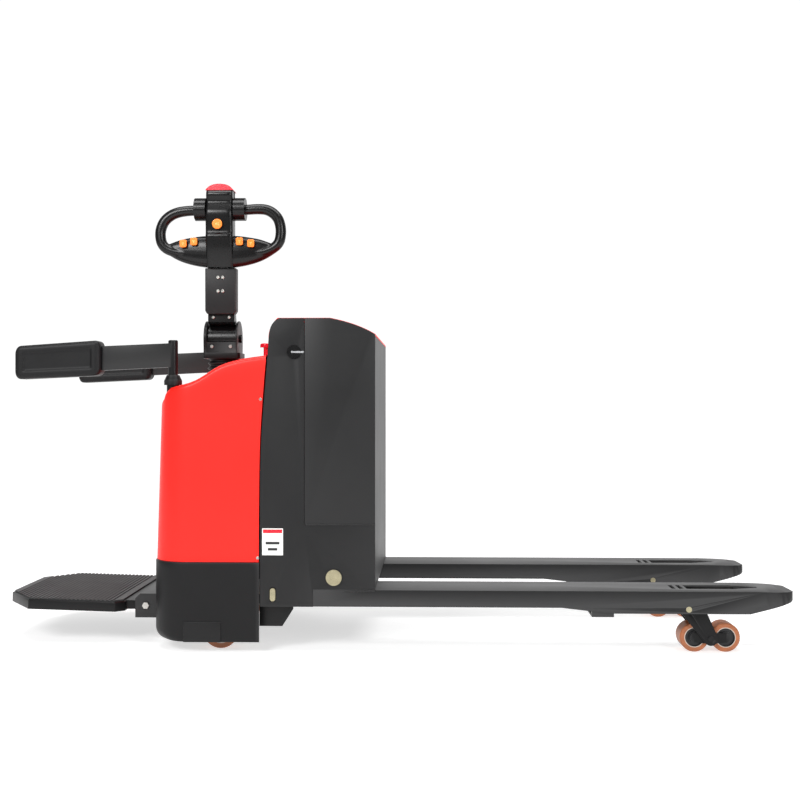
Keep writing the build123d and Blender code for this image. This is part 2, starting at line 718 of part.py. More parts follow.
with BuildPart() as platform_mat:
    with BuildSketch(Plane.XY.offset(PLATFORM_TOP)):
        Polygon((-1111, -128), (-1111, 128), (-1027, 239), (-783, 239), (-763, 219),
                (-763, -219), (-783, -239), (-1027, -239), align=None)
    extrude(amount=4.5)
    with BuildSketch(Plane.XY.offset(PLATFORM_TOP + 2)):
        with Locations((-937, 0)):
            with GridLocations(12, 1, 26, 1):
                Rectangle(6, 600)
    extrude(amount=3, mode=Mode.SUBTRACT)
platform_mat.part = platform_mat.part.rotate(PLATFORM_HINGE, PLATFORM_TILT)
keep(platform_mat, "platform_mat")

# ---------------------------------------------------------------- side arms

for side, side_name in ((-1, "near"), (1, "far")):
    with BuildPart() as arm_tube:
        with BuildSketch(side_plane(side * POST_Y)):
            Polygon((POST_X - 4, 857), (POST_X - 4, 790), (-800, 781), (-800, 849), align=None)
        extrude(amount=13.5, both=True)
        with BuildSketch(side_plane(side * POST_Y)):
            Polygon((POST_X - 20, 853), (POST_X - 20, 794), (-795, 785), (-795, 845), align=None)
        extrude(amount=10, both=True, mode=Mode.SUBTRACT)
        with BuildSketch(Plane.XY.offset(SOCKET_FLOOR + 1)):
            with Locations((POST_X, side * POST_Y)):
                Circle(POST_R)
        extrude(amount=866 - SOCKET_FLOOR - 1)
        chamfer(arm_tube.faces().sort_by(Axis.Z)[-1].edges(), 2.5)
    keep(arm_tube, f"arm_tube_{side_name}")

    with BuildPart() as arm_pad:
        with BuildSketch(side_plane(side * POST_Y)):
            Polygon((-800, 867), (-800, 765), (-1045, 754), (-1045, 850), align=None)
            fillet(arm_pad.pending_faces[0].vertices() if arm_pad.pending_faces else vertices(), 16)
        extrude(amount=34, both=True)
        fillet(arm_pad.faces().sort_by(Axis.Y)[0].edges(), 8)
        fillet(arm_pad.faces().sort_by(Axis.Y)[-1].edges(), 8)
    keep(arm_pad, f"arm_pad_{side_name}")

# ---------------------------------------------------------------- drive unit

drive_wheel = wheel(0, 0, DRIVE_R, DRIVE_R, DRIVE_HALF_W, 76, 15 + RUN_FIT, lambda y: Plane.YZ.offset(AXIS_X + y))
keep(drive_wheel, "drive_wheel")

with BuildPart() as drive_gearbox:
    with BuildSketch(Plane.YZ.offset(AXIS_X + DRIVE_HALF_W + 4)):
        with Locations((0, DRIVE_R)):
            Circle(44)
        with Locations((0, 200)):
            Rectangle(88, 30)
        make_hull()
    extrude(amount=44)
    chamfer(drive_gearbox.faces().sort_by(Axis.X)[-1].edges(), 5)
    with BuildSketch(Plane.YZ.offset(AXIS_X - DRIVE_HALF_W)):
        with Locations((0, DRIVE_R)):
            Circle(15)
    extrude(amount=2 * DRIVE_HALF_W + 6)
    with BuildSketch(Plane.XY.offset(213)):
        with Locations((AXIS_X, 0)):
            Circle(84)
    extrude(amount=10)
    with BuildSketch(Plane.XY.offset(223)):
        with Locations((AXIS_X, 0)):
            Circle(45 - RUN_FIT)
    extrude(amount=27)
keep(drive_gearbox, "drive_gearbox")

with BuildPart() as drive_motor:
    with BuildSketch(Plane.XY.offset(250)):
        with Locations((AXIS_X, 0)):
            Circle(68)
    extrude(amount=170)
    with BuildSketch(Plane.XY.offset(280)):
        with Locations((AXIS_X, 0)):
            with PolarLocations(68, 24):
                Rectangle(6, 4)
    extrude(amount=110, mode=Mode.SUBTRACT)
    chamfer(drive_motor.faces().sort_by(Axis.Z)[-1].edges(), 5)
keep(drive_motor, "drive_motor")

with BuildPart() as steering_column:
    with BuildSketch(Plane.XY.offset(420)):
        with Locations((AXIS_X, 0)):
            Circle(56)
            with PolarLocations(46, 6):
                Circle(4, mode=Mode.SUBTRACT)
    extrude(amount=10)
    with BuildSketch(Plane.XY.offset(430)):
        with Locations((AXIS_X, 0)):
            Circle(26)
            Circle(20, mode=Mode.SUBTRACT)
    extrude(amount=394)
keep(steering_column, "steering_column")

DRUM_R = 43.0
with BuildPart() as tiller_base:
    with BuildSketch(Plane.XY.offset(824)):
        with Locations((AXIS_X, 0)):
            RectangleRounded(112, 104, 10)
    extrude(amount=17)
    for x_low, thick in ((AXIS_X - 53, 9), (AXIS_X + 43.5, 5)):
        with BuildSketch(Plane.YZ.offset(x_low)):
            with Locations((0, TILT_Z)):
                Circle(54)
            with Locations((0, 845)):
                Rectangle(102, 10)
            make_hull()
        extrude(amount=thick)
    with BuildSketch(side_plane(-DRUM_R - 1.5)):
        with Locations((AXIS_X - 3, 841)):
            Rectangle(96, 32, align=(Align.CENTER, Align.MIN))
    extrude(amount=6)
    with BuildSketch(Plane.YZ.offset(AXIS_X - 60)):
        with Locations((0, TILT_Z)):
            Circle(12 + RUN_FIT)
    extrude(amount=130, mode=Mode.SUBTRACT)
keep(tiller_base, "tiller_base")

with BuildPart() as tiller_screws:
    for screw_x in (AXIS_X - 28, AXIS_X + 28):
        add(screw(screw_x, 860, -DRUM_R - 7.5, 5, 2.5, -1))
keep(tiller_screws, "tiller_screws")

# ---------------------------------------------------------------- tiller

with BuildPart() as tiller_hub:
    with BuildSketch(Plane.YZ.offset(AXIS_X - 43.5)):
        with Locations((0, TILT_Z)):
            Circle(DRUM_R)
    extrude(amount=86.5)
    with BuildSketch(Plane.YZ.offset(AXIS_X - 54)):
        with Locations((0, TILT_Z)):
            Circle(12)
    extrude(amount=110)
    with BuildSketch(Plane.YZ.offset(AXIS_X - 40)):
        Polygon((-5, 924), (-20, 922), (-48, 934), (-48, 957), (-18, 957), align=None)
    extrude(amount=80)
keep(tiller_hub, "tiller_hub")

with BuildPart() as tiller_arm:
    with BuildSketch(side_plane(-20)):
        Polygon((AXIS_X - 47, 967), (AXIS_X - 40, 957), (AXIS_X + 40, 957), (AXIS_X + 47, 967),
                (AXIS_X + 47, 1095), (AXIS_X - 47, 1095), align=None)
    extrude(amount=42)
    chamfer(tiller_arm.edges().filter_by(Axis.Z), 3)
keep(tiller_arm, "tiller_arm")

with BuildPart() as tiller_arm_screws:
    for screw_x in (AXIS_X - 7, AXIS_X + 7):
        for screw_z in (1026, 1067):
            add(screw(screw_x, screw_z, -62, 5, 2.5, -1))
    for screw_x in (AXIS_X - 24, AXIS_X + 24):
        add(screw(screw_x, 948, -48, 4.5, 2.5, -1))
keep(tiller_arm_screws, "tiller_arm_screws")

SPINE_HALF_W = 41.0
with BuildPart() as head_shell:
    # crowned spine, seen from the side as stepped swellings
    with BuildSketch(Plane.YZ.offset(AXIS_X)):
        with BuildLine():
            Polyline((-20, 1098), (-20, 1322), (-84, 1322))
            Spline((-84, 1322), (-98, 1292), (-92, 1262))
            Spline((-92, 1262), (-96, 1228), (-88, 1192))
            Spline((-88, 1192), (-90, 1140), (-76, 1098))
            Line((-76, 1098), (-20, 1098))
        make_face()
    extrude(amount=SPINE_HALF_W, both=True)
    # wings either side, deepest at the spine
    with BuildSketch(side_plane(HEAD_Y)):
        with BuildLine():
            Spline((AXIS_X - 170, 1172), (AXIS_X - 100, 1186), (AXIS_X - 40, 1192))
            Line((AXIS_X - 40, 1192), (AXIS_X + 40, 1192))
            Spline((AXIS_X + 40, 1192), (AXIS_X + 100, 1186), (AXIS_X + 170, 1172))
            Spline((AXIS_X + 170, 1172), (AXIS_X + 186, 1150), (AXIS_X + 172, 1134))
            Spline((AXIS_X + 172, 1134), (AXIS_X + 112, 1108), (AXIS_X + 44, 1096))
            Line((AXIS_X + 44, 1096), (AXIS_X - 44, 1096))
            Spline((AXIS_X - 44, 1096), (AXIS_X - 112, 1108), (AXIS_X - 172, 1134))
            Spline((AXIS_X - 172, 1134), (AXIS_X - 186, 1150), (AXIS_X - 170, 1172))
        make_face()
    extrude(amount=20, both=True)
    # bore for the throttle shaft and sockets for the buttons
    with BuildSketch(Plane.YZ.offset(AXIS_X - SPINE_HALF_W)):
        with Locations((HEAD_Y, THROTTLE_Z)):
            Circle(8 + RUN_FIT)
    extrude(amount=2 * SPINE_HALF_W, mode=Mode.SUBTRACT)
    with BuildSketch(side_plane(-100)):
        with Locations((AXIS_X - 3, 1222)):
            Circle(10.3)
    extrude(amount=-20, mode=Mode.SUBTRACT)
    with BuildSketch(side_plane(-90)):
        for button_x, button_z in ((-108, 1166), (-76, 1172), (61, 1172), (95, 1166)):
            with Locations((AXIS_X + button_x, button_z)):
                Rectangle(16.6, 16.6)
    extrude(amount=-22, mode=Mode.SUBTRACT)
    with BuildSketch(Plane.XY.offset(1330)):
        with Locations((AXIS_X, -55)):
            Rectangle(60.6, 44.6)
    extrude(amount=-27, mode=Mode.SUBTRACT)
keep(head_shell, "head_shell")

with BuildPart() as grip_loops:
    for side in (-1, 1):
        with BuildLine():
            Line((AXIS_X + side * 87, HEAD_Y, 1269), (AXIS_X + side * 132, HEAD_Y, 1272))
            TangentArc((AXIS_X + side * 132, HEAD_Y, 1272), (AXIS_X + side * 183, HEAD_Y, 1215), tangent=(side, 0, 0.06))
            TangentArc((AXIS_X + side * 183, HEAD_Y, 1215), (AXIS_X + side * 168, HEAD_Y, 1160), tangent=(side * 0.1, 0, -1))
        with BuildSketch(Plane(origin=(AXIS_X + side * 87, HEAD_Y, 1269), z_dir=(side, 0, 0.0667))):
            Circle(GRIP_R)
        sweep(transition=Transition.ROUND)
    add(head_shell.part, mode=Mode.SUBTRACT)
keep(grip_loops, "grip_loops")

with BuildPart() as throttle_butterfly:
    with BuildSketch(Plane.YZ.offset(AXIS_X - 80)):
        with Locations((HEAD_Y, THROTTLE_Z)):
            Circle(8)
    extrude(amount=160)
    for side in (-1, 1):
        with BuildSketch(Plane.YZ.offset(AXIS_X + side * (SPINE_HALF_W + 1))):
            with Locations((HEAD_Y, THROTTLE_Z)):
                Circle(34)
        extrude(amount=side * 34)
        with BuildSketch(Plane.YZ.offset(AXIS_X + side * (SPINE_HALF_W + 1))):
            with Locations((HEAD_Y, THROTTLE_Z)):
                with PolarLocations(35, 16):
                    Rectangle(5, 5)
        extrude(amount=side * 34, mode=Mode.SUBTRACT)
keep(throttle_butterfly, "throttle_butterfly")

with BuildPart() as belly_button:
    with BuildSketch(Plane.XY.offset(1308)):
        with Locations((AXIS_X, -55)):
            Rectangle(60, 44)
    extrude(amount=24)
    with BuildSketch(side_plane(-52)):
        with BuildLine():
            Line((AXIS_X - 42, 1326), (AXIS_X + 42, 1326))
            Spline((AXIS_X + 42, 1326), (AXIS_X + 30, 1338), (AXIS_X, 1345), (AXIS_X - 30, 1338), (AXIS_X - 42, 1326))
        make_face()
    extrude(amount=30, both=True)
keep(belly_button, "belly_button")

with BuildPart() as horn_button:
    with BuildSketch(side_plane(-84)):
        with Locations((AXIS_X - 3, 1222)):
            Circle(10)
    extrude(amount=14.5)
    with BuildSketch(side_plane(-98.5)):
        with Locations((AXIS_X - 3, 1222)):
            Circle(15)
    extrude(amount=3)
    fillet(horn_button.faces().sort_by(Axis.Y)[0].edges(), 1.5)
keep(horn_button, "horn_button")

for name, button_x, button_z in (("raise_button", -108, 1166), ("lower_button", -76, 1172),
                                 ("slow_button", 61, 1172), ("speed_button", 95, 1166)):
    with BuildPart() as push_button:
        with BuildSketch(side_plane(-72)):
            with Locations((AXIS_X + button_x, button_z)):
                Rectangle(16, 16)
        extrude(amount=11)
        with BuildSketch(side_plane(-83)):
            with Locations((AXIS_X + button_x, button_z)):
                RectangleRounded(21, 23, 5)
        extrude(amount=3.5)
        fillet(push_button.faces().sort_by(Axis.Y)[0].edges(), 1.5)
    keep(push_button, name)

with BuildPart() as emergency_stop:
    with BuildSketch(Plane.XY.offset(790)):
        with Locations((STOP_X, -60)):
            Circle(10)
    extrude(amount=66)
    with BuildSketch(Plane.XY.offset(856)):
        with Locations((STOP_X, -60)):
            Circle(20)
    extrude(amount=12)
    fillet(emergency_stop.faces().sort_by(Axis.Z)[-1].edges(), 5)
keep(emergency_stop, "emergency_stop")

# ---------------------------------------------------------------- casters

for side, side_name in ((-1, "near"), (1, "far")):
    wheel_x = CASTER_X - CASTER_TRAIL
    with BuildPart() as caster_fork:
        for cheek in (-1, 1):
            with BuildSketch(side_plane(side * CASTER_Y + cheek * (CASTER_HALF_W + 1))):
                with Locations((wheel_x, CASTER_R)):
                    Circle(14)
                with Locations((CASTER_X - 6, 107)):
                    Rectangle(56, 6)
                make_hull()
            extrude(amount=-cheek * 4)
        with Locations((CASTER_X - 6, side * CASTER_Y, 107)):
            Box(56, 2 * CASTER_HALF_W + 10, 6)
        with BuildSketch(Plane.XY.offset(104)):
            with Locations((CASTER_X, side * CASTER_Y)):
                Circle(28)
        extrude(amount=13.7)
        with BuildSketch(Plane.XY.offset(117)):
            with Locations((CASTER_X, side * CASTER_Y)):
                Circle(12)
        extrude(amount=22)
        with BuildSketch(side_plane(side * CASTER_Y)):
            with Locations((wheel_x, CASTER_R)):
                Circle(8)
        extrude(amount=CASTER_HALF_W + 8, both=True)
    keep(caster_fork, f"caster_fork_{side_name}")
    caster_wheel = wheel(wheel_x, side * CASTER_Y, CASTER_R, CASTER_R, CASTER_HALF_W, 32, 8 + RUN_FIT, side_plane)
    keep(caster_wheel, f"caster_wheel_{side_name}")
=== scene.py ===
"""Looks of the ride-on pallet truck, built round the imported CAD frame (metres, +X along the forks, +Z up)."""

import json
import math

import bmesh
import bpy
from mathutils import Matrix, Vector


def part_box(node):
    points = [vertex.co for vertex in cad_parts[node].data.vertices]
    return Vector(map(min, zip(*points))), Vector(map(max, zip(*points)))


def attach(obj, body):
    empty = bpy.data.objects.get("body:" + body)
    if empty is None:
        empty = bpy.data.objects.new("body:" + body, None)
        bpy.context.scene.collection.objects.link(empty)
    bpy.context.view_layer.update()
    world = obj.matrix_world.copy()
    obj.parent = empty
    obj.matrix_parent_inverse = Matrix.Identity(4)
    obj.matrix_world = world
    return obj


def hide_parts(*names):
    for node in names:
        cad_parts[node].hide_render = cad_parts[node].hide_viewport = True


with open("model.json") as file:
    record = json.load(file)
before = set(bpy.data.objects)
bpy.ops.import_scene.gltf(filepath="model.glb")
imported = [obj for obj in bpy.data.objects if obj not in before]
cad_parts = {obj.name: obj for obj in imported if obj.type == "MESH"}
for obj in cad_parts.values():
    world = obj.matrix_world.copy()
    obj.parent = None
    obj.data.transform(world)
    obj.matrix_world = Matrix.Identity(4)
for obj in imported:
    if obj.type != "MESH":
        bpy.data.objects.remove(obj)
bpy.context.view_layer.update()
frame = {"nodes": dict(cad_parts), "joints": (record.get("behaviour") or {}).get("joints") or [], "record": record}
NODES = frame["nodes"]
BODY_OF = {node: body for body, members in frame["record"]["behaviour"]["bodies"].items() for node in members}
SLOT_OF = {entry["node"]: entry["material_slot"] for entry in frame["record"]["subparts"]}

MM = 0.001
AXIS_X = -0.512            # steering axis
HEAD_Y = -0.060            # middle plane of the tiller head
PLATE_FACE = -342.5        # outer face of the near side plate, in millimetres
COVER_WALL = 0.0035        # wall of the red cover and of the shroud


# ---------------------------------------------------------------- materials

WEAR_FROM, WEAR_TO = 0.53, 0.62      # pointiness at which an edge begins to look rubbed, and looks it fully
TYRE = (0.36, 0.115, 0.042)
HUB = (0.008, 0.008, 0.009)
RIM = (0.50, 0.42, 0.36)
STREAK = 6.0                         # how much finer a brushed grain is across its streaks


def link(tree, a, out, b, into):
    tree.links.new(a.outputs[out], b.inputs[into])


def rubbed_edges(tree, base, colour, wear):
    """Lighten a colour along the convex edges, and return the node that does it."""
    edge = tree.nodes.new("ShaderNodeNewGeometry")
    edge_ramp = tree.nodes.new("ShaderNodeValToRGB")
    edge_ramp.color_ramp.elements[0].position = WEAR_FROM
    edge_ramp.color_ramp.elements[1].position = WEAR_TO
    link(tree, edge, "Pointiness", edge_ramp, "Fac")
    amount = tree.nodes.new("ShaderNodeMath")
    amount.operation = "MULTIPLY"
    amount.inputs[1].default_value = wear
    link(tree, edge_ramp, "Color", amount, 0)
    rub = tree.nodes.new("ShaderNodeMixRGB")
    rub.inputs["Color2"].default_value = (*[min(1, c * 1.6 + 0.06) for c in colour], 1)
    link(tree, amount, "Value", rub, "Fac")
    link(tree, base, "Color", rub, "Color1")
    return rub


def surface(name, colour, roughness, grain=900.0, bump=0.15, variation=0.10, specular=0.5, wear=0.0,
            coat=0.0, grain_depth=0.0002, metallic=0.0, blotch=9.0, gloss_change=0.08):
    """A moulded, painted or plated surface: patchy colour and gloss, fine bump, rubbed edges."""
    mat = bpy.data.materials.new(name)
    mat.use_nodes = True
    tree = mat.node_tree
    shader = tree.nodes["Principled BSDF"]
    shader.inputs["Metallic"].default_value = metallic
    shader.inputs["Specular IOR Level"].default_value = specular
    shader.inputs["Coat Weight"].default_value = coat
    shader.inputs["Coat Roughness"].default_value = 0.15
    coords = tree.nodes.new("ShaderNodeTexCoord")
    patches = tree.nodes.new("ShaderNodeTexNoise")
    patches.inputs["Scale"].default_value = blotch
    patches.inputs["Detail"].default_value = 6.0
    patches.inputs["Roughness"].default_value = 0.6
    link(tree, coords, "Object", patches, "Vector")
    ramp = tree.nodes.new("ShaderNodeValToRGB")
    ramp.color_ramp.elements[0].position = 0.3
    ramp.color_ramp.elements[1].position = 0.7
    ramp.color_ramp.elements[0].color = (*[c * (1 - variation) for c in colour], 1)
    ramp.color_ramp.elements[1].color = (*[min(1, c * (1 + variation)) for c in colour], 1)
    link(tree, patches, "Fac", ramp, "Fac")
    base = rubbed_edges(tree, ramp, colour, wear) if wear > 0 else ramp
    link(tree, base, "Color", shader, "Base Color")
    gloss = tree.nodes.new("ShaderNodeMapRange")
    gloss.inputs["To Min"].default_value = max(0.05, roughness - gloss_change)
    gloss.inputs["To Max"].default_value = min(1.0, roughness + gloss_change)
    link(tree, patches, "Fac", gloss, "Value")
    link(tree, gloss, "Result", shader, "Roughness")
    fine = tree.nodes.new("ShaderNodeTexNoise")
    fine.name = "fine"
    fine.inputs["Scale"].default_value = grain
    fine.inputs["Detail"].default_value = 3.0
    link(tree, coords, "Object", fine, "Vector")
    dent = tree.nodes.new("ShaderNodeBump")
    dent.inputs["Strength"].default_value = bump
    dent.inputs["Distance"].default_value = grain_depth
    link(tree, fine, "Fac", dent, "Height")
    link(tree, dent, "Normal", shader, "Normal")
    return mat


def wheel_surface(name, centre, axle, hub_radius, ring_radius):
    """Bonded polyurethane tyre outside a steel rim ring, with a dark hub inside it, told apart by radius."""
    mat = surface(name, TYRE, 0.42, grain=500.0, bump=0.25, variation=0.22, blotch=30.0)
    tree = mat.node_tree
    shader = tree.nodes["Principled BSDF"]
    coords = tree.nodes["Texture Coordinate"]
    offset = tree.nodes.new("ShaderNodeVectorMath")
    offset.operation = "SUBTRACT"
    offset.inputs[1].default_value = centre
    link(tree, coords, "Object", offset, 0)
    flatten = tree.nodes.new("ShaderNodeVectorMath")
    flatten.operation = "MULTIPLY"
    flatten.inputs[1].default_value = tuple(0.0 if abs(a) > 0.5 else 1.0 for a in axle)
    link(tree, offset, "Vector", flatten, 0)
    radius = tree.nodes.new("ShaderNodeVectorMath")
    radius.operation = "LENGTH"
    link(tree, flatten, "Vector", radius, 0)
    tyre_colour = shader.inputs["Base Color"].links[0].from_socket
    ring = tree.nodes.new("ShaderNodeMath")
    ring.operation = "GREATER_THAN"
    ring.inputs[1].default_value = hub_radius
    link(tree, radius, "Value", ring, 0)
    tyre = tree.nodes.new("ShaderNodeMath")
    tyre.operation = "GREATER_THAN"
    tyre.inputs[1].default_value = ring_radius
    link(tree, radius, "Value", tyre, 0)
    inner = tree.nodes.new("ShaderNodeMixRGB")
    inner.inputs["Color1"].default_value = (*HUB, 1)
    inner.inputs["Color2"].default_value = (*RIM, 1)
    link(tree, ring, "Value", inner, "Fac")
    outer = tree.nodes.new("ShaderNodeMixRGB")
    link(tree, tyre, "Value", outer, "Fac")
    link(tree, inner, "Color", outer, "Color1")
    tree.links.new(tyre_colour, outer.inputs["Color2"])
    link(tree, outer, "Color", shader, "Base Color")
    return mat


def brushed(name, colour, roughness, axis):
    """Plated or machined metal with fine streaks across one axis."""
    mat = surface(name, colour, roughness, grain=300.0, bump=0.05, variation=0.12, metallic=1.0, blotch=60.0)
    tree = mat.node_tree
    stretch = tree.nodes.new("ShaderNodeMapping")
    stretch.inputs["Scale"].default_value = tuple(STREAK if i == axis else 1.0 for i in range(3))
    link(tree, tree.nodes["Texture Coordinate"], "Object", stretch, "Vector")
    link(tree, stretch, "Vector", tree.nodes["fine"], "Vector")
    return mat


def turned(name, colour, centre):
    """Zinc plate with fine turning marks round a centre, in the plane that faces along Y."""
    mat = brushed(name, colour, 0.36, 0)
    tree = mat.node_tree
    shift = tree.nodes.new("ShaderNodeMapping")
    shift.inputs["Location"].default_value = (-centre[0], 0.0, -centre[2])
    shift.inputs["Scale"].default_value = (1.0, 0.0, 1.0)
    link(tree, tree.nodes["Texture Coordinate"], "Object", shift, "Vector")
    rings = tree.nodes.new("ShaderNodeTexWave")
    rings.wave_type = "RINGS"
    rings.rings_direction = "SPHERICAL"
    rings.inputs["Scale"].default_value = 260.0
    rings.inputs["Distortion"].default_value = 2.5
    link(tree, shift, "Vector", rings, "Vector")
    shader = tree.nodes["Principled BSDF"]
    plate_colour = shader.inputs["Base Color"].links[0].from_socket
    mix = tree.nodes.new("ShaderNodeMixRGB")
    mix.blend_type = "MULTIPLY"
    mix.inputs["Fac"].default_value = 0.55
    tree.links.new(plate_colour, mix.inputs["Color1"])
    link(tree, rings, "Color", mix, "Color2")
    link(tree, mix, "Color", shader, "Base Color")
    return mat


PAINT = surface("paint_charcoal", (0.0125, 0.0125, 0.013), 0.44, grain=1400.0, bump=0.22, specular=0.24,
                wear=0.4, blotch=5.0)
PAINT_DARK = surface("paint_black", (0.0045, 0.0045, 0.0048), 0.38, grain=1400.0, bump=0.22, variation=0.14,
                     specular=0.22, wear=0.4, blotch=7.0)
RED = surface("plastic_red", (0.93, 0.0135, 0.0075), 0.42, grain=1100.0, bump=0.10, variation=0.04,
              specular=0.30, coat=0.04, blotch=4.0)
SHROUD = surface("plastic_shroud", (0.0065, 0.0065, 0.007), 0.44, grain=1500.0, bump=0.30, variation=0.12,
                 specular=0.22, wear=0.3, blotch=6.0)
MOULDED = surface("plastic_black", (0.0025, 0.0025, 0.0027), 0.27, grain=1600.0, bump=0.12, variation=0.12,
                  specular=0.34, blotch=16.0)
PAD_SKIN = surface("pad_skin", (0.0055, 0.0055, 0.006), 0.48, grain=2200.0, bump=0.40, variation=0.14,
                   specular=0.25, wear=0.3, blotch=12.0)
MAT_RUBBER = surface("mat_rubber", (0.0075, 0.0075, 0.008), 0.55, grain=1800.0, bump=0.5, variation=0.2,
                     specular=0.35, wear=0.6, blotch=18.0)
GAITER = surface("gaiter_rubber", (0.0035, 0.0035, 0.0038), 0.50, grain=1800.0, bump=0.3, variation=0.2,
                 specular=0.3, blotch=18.0)
ZINC = brushed("zinc", (0.50, 0.49, 0.46), 0.34, 1)
STEEL = brushed("machined_steel", (0.45, 0.45, 0.45), 0.32, 2)
CAST = surface("cast_grey", (0.06, 0.06, 0.063), 0.60, grain=380.0, bump=0.5, variation=0.18,
               grain_depth=0.0006)
ALLOY = brushed("alloy", (0.62, 0.63, 0.65), 0.36, 0)
CASE = surface("battery_case", (0.06, 0.06, 0.063), 0.55, bump=0.3)
RED_BUTTON = surface("button_red", (0.62, 0.004, 0.020), 0.26, grain=700.0, bump=0.05, variation=0.05,
                     specular=0.4, coat=0.3, blotch=20.0)
AMBER = surface("button_amber", (0.96, 0.235, 0.018), 0.30, grain=700.0, bump=0.08, specular=0.4, coat=0.2,
                blotch=90.0)
AMBER_MARK = surface("button_mark", (1.0, 0.52, 0.16), 0.40, grain=700.0, bump=0.1, variation=0.08,
                     blotch=90.0)
PLACARD = surface("placard_white", (0.78, 0.78, 0.76), 0.42, bump=0.08, variation=0.03)
INK = surface("placard_ink", (0.012, 0.012, 0.013), 0.5, bump=0.1)
DISC_PLATE = turned("zinc_disc", (0.55, 0.50, 0.33), (-0.146, 0.0, 0.209))

SLOT_LOOK = {
    "red_plastic": RED, "dark_steel": PAINT, "black_plastic": SHROUD, "soft_black": PAD_SKIN,
    "rubber_mat": MAT_RUBBER, "zinc": ZINC, "steel": STEEL, "cast": CAST, "battery_case": CASE,
    "aluminium": ALLOY, "red_button": RED_BUTTON, "orange_button": AMBER, "polyurethane": MAT_RUBBER,
}
NODE_LOOK = {"steering_column": GAITER, "lift_fasteners": DISC_PLATE}
DARKER = ("wheel_arms", "bogie_near", "bogie_far", "arm_posts", "tiller_base", "arm_tube_near",
          "arm_tube_far", "platform_plate", "platform_bracket", "base_frame")
GLOSSIER = ("head_shell", "grip_loops", "throttle_butterfly", "tiller_hub", "door_lock")
HUB_SHARE = {"load": 0.64, "caster": 0.66, "drive": 0.74}     # hub radius over wheel radius
RIM_SHARE = 0.055                                             # width of the rim ring over wheel radius


def dress(obj, mat):
    """Give every material slot of an object one material."""
    if not obj.material_slots:
        obj.data.materials.append(mat)
    for slot in obj.material_slots:
        slot.material = mat


def look_of(node):
    """Material of a CAD node: its own, its group's, or else its slot's."""
    if node in NODE_LOOK:
        return NODE_LOOK[node]
    if node in DARKER:
        return PAINT_DARK
    if node in GLOSSIER:
        return MOULDED
    return SLOT_LOOK[SLOT_OF[node]]


def dress_wheel(joint):
    """Tyre, rim ring and hub on the wheel that a spin joint turns."""
    wheel = joint["child"]
    low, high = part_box(wheel)
    outside = (high[2] - low[2]) / 2
    share = HUB_SHARE[wheel.split("_")[0]]
    hub_radius, ring_radius = outside * share, outside * (share + RIM_SHARE)
    tread = wheel_surface(f"tread_{wheel}", tuple(joint["pos_m"]), joint["axis"], hub_radius, ring_radius)
    dress(NODES[wheel], tread)


for node_name, node_obj in NODES.items():
    dress(node_obj, look_of(node_name))
for spin in frame["joints"]:
    if "wheel" in spin["name"] and spin["name"].endswith("spin"):
        dress_wheel(spin)


# ---------------------------------------------------------------- mesh helpers

def smooth_faces(bm, degrees):
    """Smooth shading, broken at edges sharper than an angle."""
    for edge in bm.edges:
        edge.smooth = len(edge.link_faces) != 2 or edge.calc_face_angle(0.0) < math.radians(degrees)
    for face in bm.faces:
        face.smooth = True


def as_object(name, bm, mat, smooth=35.0):
    """Turn a bmesh into an object with smooth shading broken at sharp edges."""
    bmesh.ops.recalc_face_normals(bm, faces=bm.faces)
    mesh = bpy.data.meshes.new(name)
    smooth_faces(bm, smooth)
    bm.to_mesh(mesh)
    bm.free()
    obj = bpy.data.objects.new(name, mesh)
    bpy.context.scene.collection.objects.link(obj)
    obj.data.materials.append(mat)
    return obj


def bake_modifiers(obj):
    """Replace an object's mesh with its evaluated one."""
    depsgraph = bpy.context.evaluated_depsgraph_get()
    mesh = bpy.data.meshes.new_from_object(obj.evaluated_get(depsgraph))
    obj.modifiers.clear()
    obj.data = mesh


def mark_sharp(obj, degrees):
    """Set the smooth shading of a finished mesh again."""
    bm = bmesh.new()
    bm.from_mesh(obj.data)
    smooth_faces(bm, degrees)
    bm.to_mesh(obj.data)
    bm.free()


def thicken(piece):
    """Give an open skin its wall, on the inner side."""
    shell = piece.modifiers.new("thickness", "SOLIDIFY")
    shell.thickness = COVER_WALL
    shell.offset = -1
    bake_modifiers(piece)
    mark_sharp(piece, 40)


def superellipse(count, half_a, half_b, power):
    """Closed outline of a rounded box, as (a, b) pairs."""
    pairs = []
    for i in range(count):
        t = 2 * math.pi * i / count
        c, s = math.cos(t), math.sin(t)
        a = half_a * math.copysign(abs(c) ** (2 / power), c)
        b = half_b * math.copysign(abs(s) ** (2 / power), s)
        pairs.append((a, b))
    return pairs


def loft(bm, sections):
    """Skin closed sections of equal count and cap both ends."""
    rings = [[bm.verts.new(p) for p in section] for section in sections]
    count = len(rings[0])
    for lower, upper in zip(rings, rings[1:]):
        for i in range(count):
            bm.faces.new((lower[i], lower[(i + 1) % count], upper[(i + 1) % count], upper[i]))
    bm.faces.new(list(reversed(rings[0])))
    bm.faces.new(rings[-1])


def smooth_curve(points, x):
    """Height of a smooth curve through points sorted by x."""
    if x <= points[0][0]:
        return points[0][1]
    for i in range(len(points) - 1):
        (x0, y0), (x1, y1) = points[i], points[i + 1]
        if x <= x1:
            before = points[max(i - 1, 0)]
            after = points[min(i + 2, len(points) - 1)]
            slope0 = (y1 - before[1]) / max(x1 - before[0], 1e-9)
            slope1 = (after[1] - y0) / max(after[0] - x0, 1e-9)
            t = (x - x0) / (x1 - x0)
            h = x1 - x0
            return ((2 * t**3 - 3 * t**2 + 1) * y0 + (t**3 - 2 * t**2 + t) * h * slope0
                    + (3 * t**2 - 2 * t**3) * y1 + (t**3 - t**2) * h * slope1)
    return points[-1][1]


# ---------------------------------------------------------------- softened steel

